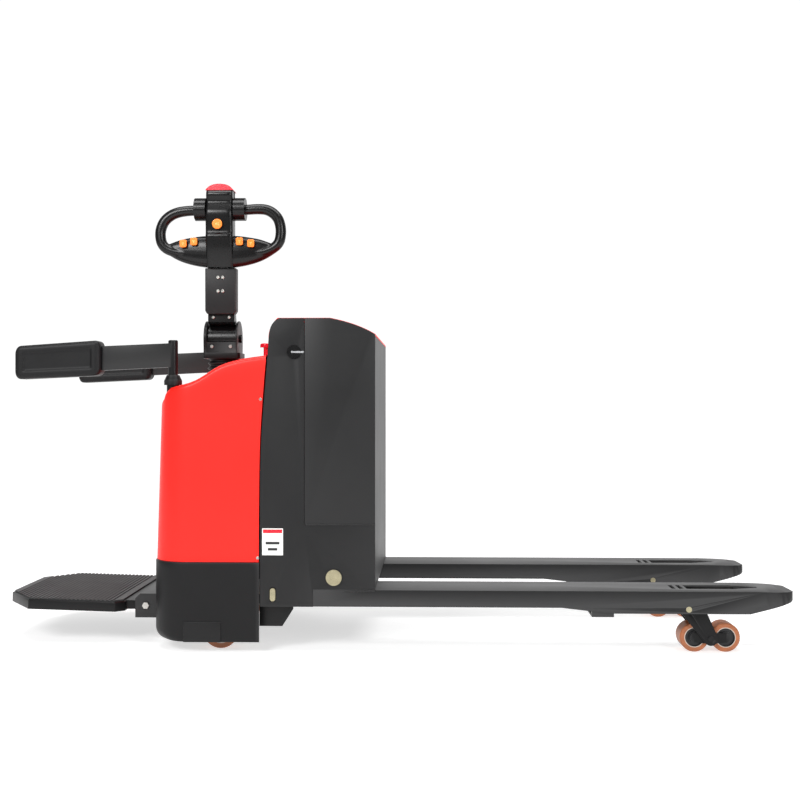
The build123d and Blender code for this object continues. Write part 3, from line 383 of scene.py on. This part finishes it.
SHARP_ANGLE = 28.0      # edges sharper than this are rounded
SOFT_EDGES = {"side_plate_near": 1.2, "side_plate_far": 1.2, "battery_doors": 1.2, "fork_near": 1.8,
              "fork_far": 1.8, "battery_lid": 2.0, "tiller_arm": 2.5, "tiller_base": 2.0,
              "arm_tube_near": 4.0, "arm_tube_far": 4.0, "wheel_arms": 1.2, "platform_plate": 1.5,
              "access_cover": 1.0, "base_frame": 0.8}


def soften(node, width):
    """Stand in for a CAD node with the same shape with its hard edges rounded by a width in millimetres."""
    bm = bmesh.new()
    bm.from_mesh(NODES[node].data)
    bmesh.ops.remove_doubles(bm, verts=bm.verts, dist=0.02 * MM)
    bmesh.ops.dissolve_limit(bm, angle_limit=math.radians(0.6), verts=bm.verts, edges=bm.edges)
    piece = as_object(f"{node}_body", bm, look_of(node), SHARP_ANGLE)
    bevel = piece.modifiers.new("round", "BEVEL")
    bevel.width = width * MM
    bevel.segments = 3
    bevel.limit_method = "ANGLE"
    bevel.angle_limit = math.radians(SHARP_ANGLE)
    bake_modifiers(piece)
    mark_sharp(piece, 38.0)
    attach(piece, BODY_OF[node])
    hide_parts(node)


for node_name, round_width in SOFT_EDGES.items():
    soften(node_name, round_width)


# ---------------------------------------------------------------- covers

COVER_BOTTOM, COVER_HIGH = 0.250, 0.822
COVER_HALF, COVER_CORNER = 0.340, 0.100
COVER_REAR_LOW, COVER_REAR_HIGH = -0.657, -0.644
COVER_EDGE = 0.013         # rounding of the cover's top edge
CAP_STEP, CAP_CUTS = 0.0092, 33
COVER_TOP = [(-0.657, 0.668), (-0.648, 0.684), (-0.642, 0.694), (-0.634, 0.703), (-0.626, 0.711),
             (-0.621, 0.724), (-0.610, 0.731), (-0.596, 0.734), (-0.564, 0.742), (-0.534, 0.752),
             (-0.504, 0.769), (-0.474, 0.788), (-0.444, 0.801), (-0.396, 0.813), (-0.334, 0.822)]
COVER_FRONT = [(0.250, -0.3540), (0.380, -0.3535), (0.589, -0.3505), (0.700, -0.3440), (0.823, -0.3345)]

SHROUD_BOTTOM, SHROUD_TOP = 0.030, 0.2495
SHROUD_HALF, SHROUD_CORNER = 0.346, 0.100
SHROUD_REAR, SHROUD_FRONT = -0.659, -0.352
SHROUD_LIP = 0.003         # rounding of the shroud's top edge
TOE_FRONT, TOE_REAR = 0.004, 0.030      # rounding of its bottom edge, in front and behind
TOE_START, TOE_RUN = -0.50, 0.13        # where the rounding begins to grow, and over what length
TOE_IN_X, TOE_IN_Y = 0.9, 0.5           # share of the rounding that pulls the edge in, along and across


def u_outline(rear, half_w, radius, front, side_steps=16, arc_steps=14):
    """Points and outward directions round a plan that is open at the front."""
    points = []
    for i in range(side_steps):
        t = i / side_steps
        points.append((front + t * (rear + radius - front), -half_w, 0.0, -1.0))
    for i in range(arc_steps + 1):
        a = math.radians(270 - 90 * i / arc_steps)
        x = rear + radius + radius * math.cos(a)
        y = -half_w + radius + radius * math.sin(a)
        points.append((x, y, math.cos(a), math.sin(a)))
    for i in range(1, side_steps):
        points.append((rear, (-half_w + radius) * (1 - 2 * i / side_steps), -1.0, 0.0))
    for x, y, nx, ny in reversed(points[:side_steps + arc_steps + 1]):
        points.append((x, -y, nx, -ny))
    return points


def bridge(bm, rings):
    """Skin open rings of equal count."""
    for lower, upper in zip(rings, rings[1:]):
        for i in range(len(lower) - 1):
            bm.faces.new((lower[i], lower[i + 1], upper[i + 1], upper[i]))


def cut_cap(bm):
    """Cut the cover's one top face into strips across, so that it can follow the curve of the top."""
    for i in range(1, CAP_CUTS + 1):
        caps = [face for face in bm.faces if len(face.verts) > 4]
        corners = {vert for face in caps for vert in face.verts}
        edges = {edge for face in caps for edge in face.edges}
        geom = [*corners, *edges, *caps]
        x = COVER_REAR_HIGH + i * CAP_STEP
        bmesh.ops.bisect_plane(bm, geom=geom, plane_co=(x, 0, 0), plane_no=(1, 0, 0))
    for vert in bm.verts:
        on_cap = any(len(face.verts) > 4 or face.normal.z > 0.9 for face in vert.link_faces)
        inside = abs(vert.co.y) < COVER_HALF - COVER_EDGE - MM and vert.co.x > COVER_REAR_HIGH + COVER_EDGE
        if on_cap and inside:
            vert.co.z = smooth_curve(COVER_TOP, vert.co.x)


def make_red_cover():
    """Moulded cover: walls that lean with height, a rounded top edge and a stepped, sloping top."""
    bm = bmesh.new()
    rings = []
    levels = 26
    for level in range(levels + 1):
        s = level / levels
        rear = COVER_REAR_LOW + (COVER_REAR_HIGH - COVER_REAR_LOW) * s
        front = smooth_curve(COVER_FRONT, COVER_BOTTOM + s * (COVER_HIGH - COVER_BOTTOM))
        ring = []
        for x, y, _, _ in u_outline(rear, COVER_HALF, COVER_CORNER, front):
            top = smooth_curve(COVER_TOP, x) - COVER_EDGE
            ring.append(bm.verts.new((x, y, COVER_BOTTOM + s * (top - COVER_BOTTOM))))
        rings.append(ring)
    outline = u_outline(COVER_REAR_HIGH, COVER_HALF, COVER_CORNER, COVER_FRONT[-1][1])
    edge_steps = 6
    for step in range(1, edge_steps + 1):
        a = math.radians(90 * step / edge_steps)
        inset = COVER_EDGE * (1 - math.cos(a))
        rise = COVER_EDGE * math.sin(a) - COVER_EDGE
        rings.append([bm.verts.new((x - nx * inset, y - ny * inset, smooth_curve(COVER_TOP, x) + rise))
                      for x, y, nx, ny in outline])
    bridge(bm, rings)
    bm.faces.new(rings[-1])
    cut_cap(bm)
    piece = as_object("red_cover_shell", bm, RED, 40)
    thicken(piece)
    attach(piece, "power_unit")
    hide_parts("red_cover")


def make_shroud():
    """Lower shroud: upright walls, a bottom edge that rounds more towards the rear, and a small top lip."""
    bm = bmesh.new()
    rings = []
    outline = u_outline(SHROUD_REAR, SHROUD_HALF, SHROUD_CORNER, SHROUD_FRONT)
    toe_steps = 8
    for step in range(toe_steps + 1):
        a = math.radians(90 * step / toe_steps)
        ring = []
        for x, y, nx, ny in outline:
            rear_share = min(1.0, max(0.0, (TOE_START - x) / TOE_RUN))
            edge = TOE_FRONT + (TOE_REAR - TOE_FRONT) * rear_share**2
            depth = edge * (1 - math.sin(a))
            z = SHROUD_BOTTOM + edge * (1 - math.cos(a))
            ring.append(bm.verts.new((x - nx * depth * TOE_IN_X, y - ny * depth * TOE_IN_Y, z)))
        rings.append(ring)
    toe_heights = [vert.co.z for vert in rings[-1]]
    levels = 12
    for level in range(1, levels + 1):
        s = level / levels
        rings.append([bm.verts.new((x, y, low + s * (SHROUD_TOP - SHROUD_LIP - low)))
                      for (x, y, _, _), low in zip(outline, toe_heights)])
    for inset, z in ((0.8 * MM, SHROUD_TOP - 0.8 * MM), (SHROUD_LIP, SHROUD_TOP)):
        rings.append([bm.verts.new((x - nx * inset, y - ny * inset, z)) for x, y, nx, ny in outline])
    bridge(bm, rings)
    piece = as_object("shroud_shell", bm, SHROUD, 40)
    thicken(piece)
    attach(piece, "power_unit")
    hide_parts("lower_shroud")


make_red_cover()
make_shroud()


# ---------------------------------------------------------------- tiller head

# distance from the middle of the head, and height
WING_TOP = [(0.0, 1.192), (0.050, 1.192), (0.090, 1.187), (0.120, 1.181), (0.146, 1.172), (0.166, 1.165),
            (0.186, 1.168), (0.1975, 1.186)]
WING_LOW = [(0.0, 1.094), (0.045, 1.097), (0.085, 1.104), (0.125, 1.117), (0.160, 1.137), (0.182, 1.156),
            (0.1975, 1.186)]
LOOP = {
    "left": [(0.055, 1.2680), (0.080, 1.2680), (0.105, 1.2665), (0.130, 1.2620), (0.152, 1.2520),
             (0.170, 1.2350), (0.180, 1.2120), (0.1815, 1.1900), (0.176, 1.1680), (0.160, 1.1520),
             (0.130, 1.1420), (0.100, 1.1400)],
    "right": [(0.060, 1.2690), (0.083, 1.2700), (0.108, 1.2715), (0.135, 1.2700), (0.156, 1.2610),
              (0.173, 1.2430), (0.181, 1.2180), (0.1815, 1.1930), (0.175, 1.1700), (0.158, 1.1540),
              (0.130, 1.1430), (0.100, 1.1400)],
}
LOOP_RADIUS, LOOP_SWELL = 0.0152, 0.0010
WING_START, WING_END, WING_TIP = 0.020, 0.194, 0.195
WING_THIN, WING_CROWN = 0.0105, 0.0125       # half depth at the tip, and what the middle has more
WING_LEAST, WING_BACK = 0.004, 0.004         # least half height, and how far the wings sit back
FUSE_VOXEL = 0.0016

# height, and how far forward the front of the spine stands
SPINE_FRONT = [(1.096, -0.074), (1.120, -0.081), (1.150, -0.088), (1.176, -0.092), (1.190, -0.0935),
               (1.199, -0.0900), (1.212, -0.0905), (1.232, -0.0930), (1.250, -0.0955), (1.262, -0.0955),
               (1.275, -0.0915), (1.290, -0.0865), (1.300, -0.0885), (1.312, -0.0915), (1.321, -0.0890),
               (1.327, -0.0800)]
SPINE_LOW, SPINE_HIGH = 1.0965, 1.3265
SPINE_BACK, SPINE_HALF = -0.024, 0.0400
BACK_BULGE, SIDE_BULGE = 0.006, 0.0015
SEAM_LOW, SEAM_STEP, SEAM_Y = 1.10, 0.0225, -0.050
SEAM_OUT, SEAM_HALF = 0.0405, 0.0007


def circle(count):
    """Cosine and sine at even steps round a circle."""
    return [(math.cos(2 * math.pi * k / count), math.sin(2 * math.pi * k / count)) for k in range(count)]


def tube_sections(path, radii):
    """Round sections square to a path in the plane of the head."""
    across = Vector((0, 1, 0))
    sections = []
    for i, point in enumerate(path):
        ahead = path[min(i + 1, len(path) - 1)] - path[max(i - 1, 0)]
        ahead.normalize()
        side = across.cross(ahead).normalized()
        sections.append([point + radii[i] * (c * side + s * across) for c, s in circle(24)])
    return sections


def curve_through(knots, steps):
    """Points of a Catmull-Rom curve through knots."""
    out = []
    for i in range(len(knots) - 1):
        p0 = Vector(knots[max(i - 1, 0)])
        p1, p2 = Vector(knots[i]), Vector(knots[i + 1])
        p3 = Vector(knots[min(i + 2, len(knots) - 1)])
        for k in range(steps):
            t = k / steps
            bend = (2 * p0 - 5 * p1 + 4 * p2 - p3) * t**2 + (3 * p1 - p0 - 3 * p2 + p3) * t**3
            out.append(0.5 * ((2 * p1) + (p2 - p0) * t + bend))
    out.append(Vector(knots[-1]))
    return out


def wing_section(side, a):
    """Rounded section of a wing at a distance from the middle of the head."""
    z_high, z_low = smooth_curve(WING_TOP, a), smooth_curve(WING_LOW, a)
    z_mid, z_half = (z_high + z_low) / 2, max((z_high - z_low) / 2, WING_LEAST)
    depth = WING_THIN + WING_CROWN * (1 - (a / WING_TIP) ** 2)
    return [(AXIS_X + side * a, HEAD_Y + WING_BACK + b, z_mid + c)
            for c, b in superellipse(28, z_half, depth, 2.4)]


def make_grip(side, label):
    """A hand loop and the wing under it, fused into one moulding."""
    bm = bmesh.new()
    path = curve_through([(AXIS_X + side * a, HEAD_Y, z) for a, z in LOOP[label]], 7)
    radii = [LOOP_RADIUS + LOOP_SWELL * math.sin(3.1 * i / len(path)) for i in range(len(path))]
    loft(bm, tube_sections(path, radii))
    wing_steps = 32
    loft(bm, [wing_section(side, WING_START + (WING_END - WING_START) * i / wing_steps)
              for i in range(wing_steps + 1)])
    piece = as_object(f"grip_{label}", bm, MOULDED, 60)
    remesh = piece.modifiers.new("fuse", "REMESH")
    remesh.mode = "VOXEL"
    remesh.voxel_size = FUSE_VOXEL
    remesh.use_smooth_shade = True
    relax = piece.modifiers.new("relax", "SMOOTH")
    relax.factor = 0.6
    relax.iterations = 9
    bake_modifiers(piece)
    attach(piece, "tiller")
    return piece


def make_spine():
    """Centre moulding of the head, with three convex bands down its front."""
    bm = bmesh.new()
    sections = []
    steps = 77
    for i in range(steps + 1):
        t = i / steps
        z = SPINE_LOW + (SPINE_HIGH - SPINE_LOW) * t
        front = smooth_curve(SPINE_FRONT, z)
        back = SPINE_BACK - BACK_BULGE * math.sin(math.pi * t)
        half_w = SPINE_HALF + SIDE_BULGE * math.sin(math.pi * t)
        y_mid, y_half = (front + back) / 2, abs(front - back) / 2
        sections.append([(AXIS_X + a, y_mid + b, z) for a, b in superellipse(48, half_w, y_half, 7.0)])
    loft(bm, sections)
    piece = as_object("head_spine", bm, MOULDED, 40)
    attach(piece, "tiller")


def make_seam(side, label):
    """Parting seam up one flank of the spine."""
    bm = bmesh.new()
    corners = ((-1, -1), (1, -1), (1, 1), (-1, 1))
    loft(bm, [[(AXIS_X + side * (SEAM_OUT + a * SEAM_HALF), SEAM_Y + b * SEAM_HALF, SEAM_LOW + SEAM_STEP * k)
               for a, b in corners] for k in range(11)])
    seam = as_object(f"head_seam_{label}", bm, SHROUD)
    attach(seam, "tiller")


left_grip = make_grip(-1, "left")
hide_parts("grip_loops", "head_shell")
make_grip(1, "right")
make_spine()
make_seam(-1, "left")
make_seam(1, "right")


# ---------------------------------------------------------------- arm pads

PAD_BOTTOM, PAD_BOTTOM_RISE = 0.7555, 0.011      # height at the rear end, and what the front end has more
PAD_TOP, PAD_TOP_RISE = 0.8490, 0.0165
PAD_CORNER, PAD_ROUND, PAD_CROWN = 0.018, 0.012, 0.0015
PANEL_DEPTH = 0.0042
PANEL_FROM_END, PANEL_FROM_EDGE = 0.024, 0.020
PANEL_END_SLOPE, PANEL_EDGE_SLOPE = 0.005, 0.004


def rounded_box(half_a, half_b, radius, per_side=26, per_corner=6):
    """Outline of a rectangle with round corners, evenly spaced along its sides."""
    points = []
    corners = ((1, 1), (-1, 1), (-1, -1), (1, -1))
    for i, (ca, cb) in enumerate(corners):
        for k in range(per_corner):
            t = math.radians(90 * i + 90 * k / per_corner)
            points.append((ca * (half_a - radius) + radius * math.cos(t),
                           cb * (half_b - radius) + radius * math.sin(t)))
        t = math.radians(90 * (i + 1))
        start, end = ((sa * (half_a - radius) + radius * math.cos(t),
                       sb * (half_b - radius) + radius * math.sin(t))
                      for sa, sb in (corners[i], corners[(i + 1) % 4]))
        for k in range(per_side):
            points.append(tuple(start[m] + (end[m] - start[m]) * k / per_side for m in range(2)))
    return points


def make_pad(label):
    """Moulded foam pad: crowned sides, soft corners, and a shallow panel let into both faces."""
    low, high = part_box(f"arm_pad_{label}")
    bm = bmesh.new()
    length = high[0] - low[0]
    end_gap = 0.0012
    half_t = (high[1] - low[1]) / 2 - MM
    y_mid = (high[1] + low[1]) / 2
    sections = []
    steps = 96
    for i in range(steps + 1):
        t = 0.35 * (0.5 - 0.5 * math.cos(math.pi * i / steps)) + 0.65 * i / steps
        x = low[0] + end_gap + t * (length - 2 * end_gap)
        z_low = PAD_BOTTOM + t * PAD_BOTTOM_RISE
        z_high = PAD_TOP + t * PAD_TOP_RISE
        from_end = min(t, 1 - t) * length
        into_corner = max(0.0, 1 - from_end / PAD_CORNER)
        fullness = math.sqrt(1 - into_corner**2)
        z_mid, z_half = (z_low + z_high) / 2, (z_high - z_low) / 2 - PAD_CORNER * (1 - fullness)
        y_half = half_t - PAD_ROUND * (1 - fullness) - PAD_CROWN * (2 * t - 1) ** 2
        panel_x = min(max((from_end - PANEL_FROM_END) / PANEL_END_SLOPE, 0.0), 1.0)
        ring = []
        for b, a in rounded_box(y_half, z_half, min(PAD_ROUND, z_half * 0.8)):
            panel_z = min(max((z_half - PANEL_FROM_EDGE - abs(a)) / PANEL_EDGE_SLOPE, 0.0), 1.0)
            depth = PANEL_DEPTH * panel_x * panel_z if abs(b) > 0.9 * y_half else 0.0
            ring.append((x, y_mid + b - math.copysign(depth, b), z_mid + a))
        sections.append(ring)
    loft(bm, sections)
    piece = as_object(f"arm_pad_{label}_foam", bm, PAD_SKIN, 60)
    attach(piece, f"arm_{label}")
    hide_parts(f"arm_pad_{label}")


make_pad("near")
make_pad("far")


# ---------------------------------------------------------------- small fittings, in millimetres

PUSH_BUTTONS = ("raise_button", "lower_button", "slow_button", "speed_button")
MARK_OUT, MARK_IN = 0.15, 0.6            # how far the marks stand out of a button, and reach into it
SCREW_HEAD, SCREW_BEVEL = 4.2, 0.6
GAITER_LOW, GAITER_HIGH = 752.0, 824.5
GAITER_RADIUS, GAITER_TAPER, RIB_DEPTH, RIBS = 50.0, 6.0, 3.5, 5


def block(name, low, high, mat, body, width):
    """Block between two corners with its edges rounded."""
    bm = bmesh.new()
    bmesh.ops.create_cube(bm, size=1.0)
    for vert in bm.verts:
        vert.co = Vector([(low[k] + high[k]) / 2 + vert.co[k] * (high[k] - low[k]) for k in range(3)]) * MM
    bmesh.ops.bevel(bm, geom=list(bm.edges), offset=width * MM, segments=2, affect="EDGES")
    piece = as_object(name, bm, mat, 30.0)
    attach(piece, body)


def screw_head(name, x, z, front, back):
    """Round zinc head that looks along -Y, with a bevelled rim."""
    bm = bmesh.new()
    rings = []
    levels = ((back, SCREW_HEAD), (front + SCREW_BEVEL, SCREW_HEAD), (front, SCREW_HEAD - SCREW_BEVEL))
    for y, radius in levels:
        rings.append([((x + radius * c) * MM, y * MM, (z + radius * s) * MM) for c, s in circle(20)])
    loft(bm, rings)
    piece = as_object(name, bm, ZINC, 30)
    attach(piece, "power_unit")


def weld_bead(name, start, end, radius, seed):
    """Slightly uneven bead along a seam."""
    bm = bmesh.new()
    across = Vector((0, 1, 0))
    start, end = Vector(start) * MM, Vector(end) * MM
    side = (end - start).normalized().cross(across).normalized()
    sections = []
    steps = max(8, int((end - start).length / (2.5 * MM)))
    for i in range(steps + 1):
        r = radius * MM * (1 + 0.22 * math.sin(1.9 * i + seed) + 0.12 * math.sin(0.63 * i + 2 * seed))
        here = start.lerp(end, i / steps)
        sections.append([here + r * (c * side + 0.6 * s * across) for c, s in circle(8)])
    loft(bm, sections)
    piece = as_object(name, bm, PAINT, 80)
    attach(piece, "lift_frame")


def make_placard():
    """Plain placard: a white field with a red band and two dark bars, without lettering or figure."""
    middle = -315.0
    for label, half_w, low, high, out, sunk, mat, width in (
            ("field", 29.0, 270, 344, 0.9, 0.2, PLACARD, 0.3),
            ("band", 26.5, 331, 341, 1.25, -0.5, RED_BUTTON, 0.2),
            ("mark_a", 19.0, 300, 307, 1.25, -0.5, INK, 0.2),
            ("mark_b", 13.0, 283, 290, 1.25, -0.5, INK, 0.2)):
        block(f"placard_{label}", (middle - half_w, PLATE_FACE - out, low),
              (middle + half_w, PLATE_FACE + sunk, high), mat, "lift_frame", width)


def make_beads():
    """Beads along the bottom and the rear edge of the battery door, and at the root of the fork."""
    weld_bead("door_bead_low", (-222, PLATE_FACE - 0.3, 354.5), (-36, PLATE_FACE - 0.3, 354.5), 1.7, 1)
    weld_bead("door_bead_rear", (-228.5, PLATE_FACE - 0.1, 356), (-228.5, PLATE_FACE - 0.1, 660), 0.7, 2)
    weld_bead("root_bead", (-120, PLATE_FACE - 0.2, 170), (-33, PLATE_FACE - 0.2, 173), 1.8, 4)


def middle_of(node):
    """X and Z of a node's middle, and Y of its front."""
    low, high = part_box(node)
    return 500 * (low[0] + high[0]), 500 * (low[2] + high[2]), 1000 * low[1]


def make_lock_highlight_bar():
    """Raised bar across the quarter-turn lock, whose light alloy colour is a painted highlight across the dark
    lock.
    """
    x, z, _ = middle_of("door_lock")
    # painted highlight: the bar's light alloy colour stands in for the bright streak of light across the dark lock
    block("lock_highlight_bar", (x - 18.0, PLATE_FACE - 3.6, z - 2.6), (x + 18.0, PLATE_FACE - 1.0, z + 2.6),
          ALLOY, "door_lock", 1.0)


def button_mark(name, button, left, right, low, high, width):
    """Light mark let into a button, placed from the button's middle."""
    x, z, front = middle_of(button)
    block(name, (x + left, front - MARK_OUT, z + low), (x + right, front + MARK_IN, z + high),
          AMBER_MARK, button, width)


def dress_buttons():
    """A plain T on each push button and three rising bars on the horn."""
    for name in PUSH_BUTTONS:
        button_mark(f"{name}_mark", name, -4.2, 4.2, 0.2, 2.6, 0.3)
        button_mark(f"{name}_tick", name, -1.1, 1.1, -5.4, 0.4, 0.3)
    for k, (shift, wide, tall) in enumerate(((-3.5, 2.2, 5.0), (0.5, 1.8, 8.5), (5.0, 1.2, 11.0))):
        button_mark(f"horn_mark_{k}", "horn_button", shift - wide, shift + wide * 0.4,
                    -tall / 2, tall / 2, 0.25)


def make_gaiter():
    """Ribbed rubber gaiter round the steering column, between the cover and the tiller base."""
    bm = bmesh.new()
    sections = []
    steps = 48
    for i in range(steps + 1):
        t = i / steps
        z = (GAITER_LOW + (GAITER_HIGH - GAITER_LOW) * t) * MM
        r = (GAITER_RADIUS - GAITER_TAPER * t + RIB_DEPTH * math.cos(2 * math.pi * RIBS * t)) * MM
        sections.append([(AXIS_X + r * c, r * s, z) for c, s in circle(48)])
    loft(bm, sections)
    piece = as_object("column_gaiter", bm, GAITER, 60)
    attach(piece, "drive_unit")


make_placard()
make_beads()
screw_head("cover_screw_low", -357, 262, -342.4, -339.0)
screw_head("cover_screw_high", -349, 700, -342.4, -339.0)
make_lock_highlight_bar()
dress_buttons()
make_gaiter()


# ---------------------------------------------------------------- stage, lights, camera

FLOOR_HALF, FLOOR_NEAR, WALL_Y, WALL_HIGH = 9, -5, 6, 9
WORLD_STRENGTH = 0.22


def glowing(name, strength, base):
    """White studio surface that shines a little by itself."""
    mat = surface(name, (base, base, base), 0.8, grain=60.0, bump=0.02, variation=0.01,
                  specular=0.0, blotch=1.5)
    shader = mat.node_tree.nodes["Principled BSDF"]
    shader.inputs["Emission Color"].default_value = (1, 1, 1, 1)
    shader.inputs["Emission Strength"].default_value = strength
    return mat


def sheet(name, corners, mat):
    """Flat stage piece."""
    bm = bmesh.new()
    bm.faces.new([bm.verts.new(c) for c in corners])
    as_object(name, bm, mat)


def stage():
    """White floor, white back wall and a dim white world."""
    sheet("floor", [(-FLOOR_HALF, FLOOR_NEAR, 0), (FLOOR_HALF, FLOOR_NEAR, 0), (FLOOR_HALF, WALL_Y, 0),
                    (-FLOOR_HALF, WALL_Y, 0)], glowing("floor", 0.62, 0.62))
    sheet("wall", [(-FLOOR_HALF, WALL_Y, 0), (FLOOR_HALF, WALL_Y, 0), (FLOOR_HALF, WALL_Y, WALL_HIGH),
                   (-FLOOR_HALF, WALL_Y, WALL_HIGH)], glowing("wall", 1.0, 0.05))
    world = bpy.data.worlds.new("studio")
    bpy.context.scene.world = world
    world.use_nodes = True
    background = world.node_tree.nodes["Background"]
    background.inputs["Color"].default_value = (1, 1, 1, 1)
    background.inputs["Strength"].default_value = WORLD_STRENGTH


def softbox(name, place, aim, size, power):
    """Rectangular area light that looks at a point."""
    lamp = bpy.data.lights.new(name, "AREA")
    lamp.shape = "RECTANGLE"
    lamp.size = size[0]
    lamp.size_y = size[1]
    lamp.energy = power
    obj = bpy.data.objects.new(name, lamp)
    obj.location = place
    obj.rotation_euler = (Vector(aim) - Vector(place)).to_track_quat("-Z", "Y").to_euler()
    bpy.context.scene.collection.objects.link(obj)


def camera():
    """Long view almost square to the near side, from a little above half height."""
    view = bpy.data.cameras.new("camera")
    view.sensor_width = 36.0
    view.lens = 52.0
    obj = bpy.data.objects.new("camera", view)
    obj.location = (0.1316, -3.5163, 0.6923)
    obj.rotation_euler = (math.radians(90.1), 0, 0.030)
    bpy.context.scene.collection.objects.link(obj)
    bpy.context.scene.camera = obj


stage()
softbox("key", (-2.2, -3.9, 2.9), (-0.2, 0, 0.5), (2.0, 1.4), 150)
softbox("fill", (2.6, -3.6, 2.0), (0.2, 0, 0.5), (1.6, 1.6), 70)
softbox("top", (0.0, -0.6, 3.6), (0, 0, 0.4), (3.4, 1.6), 110)
camera()
bpy.context.scene.view_settings.view_transform = "Standard"
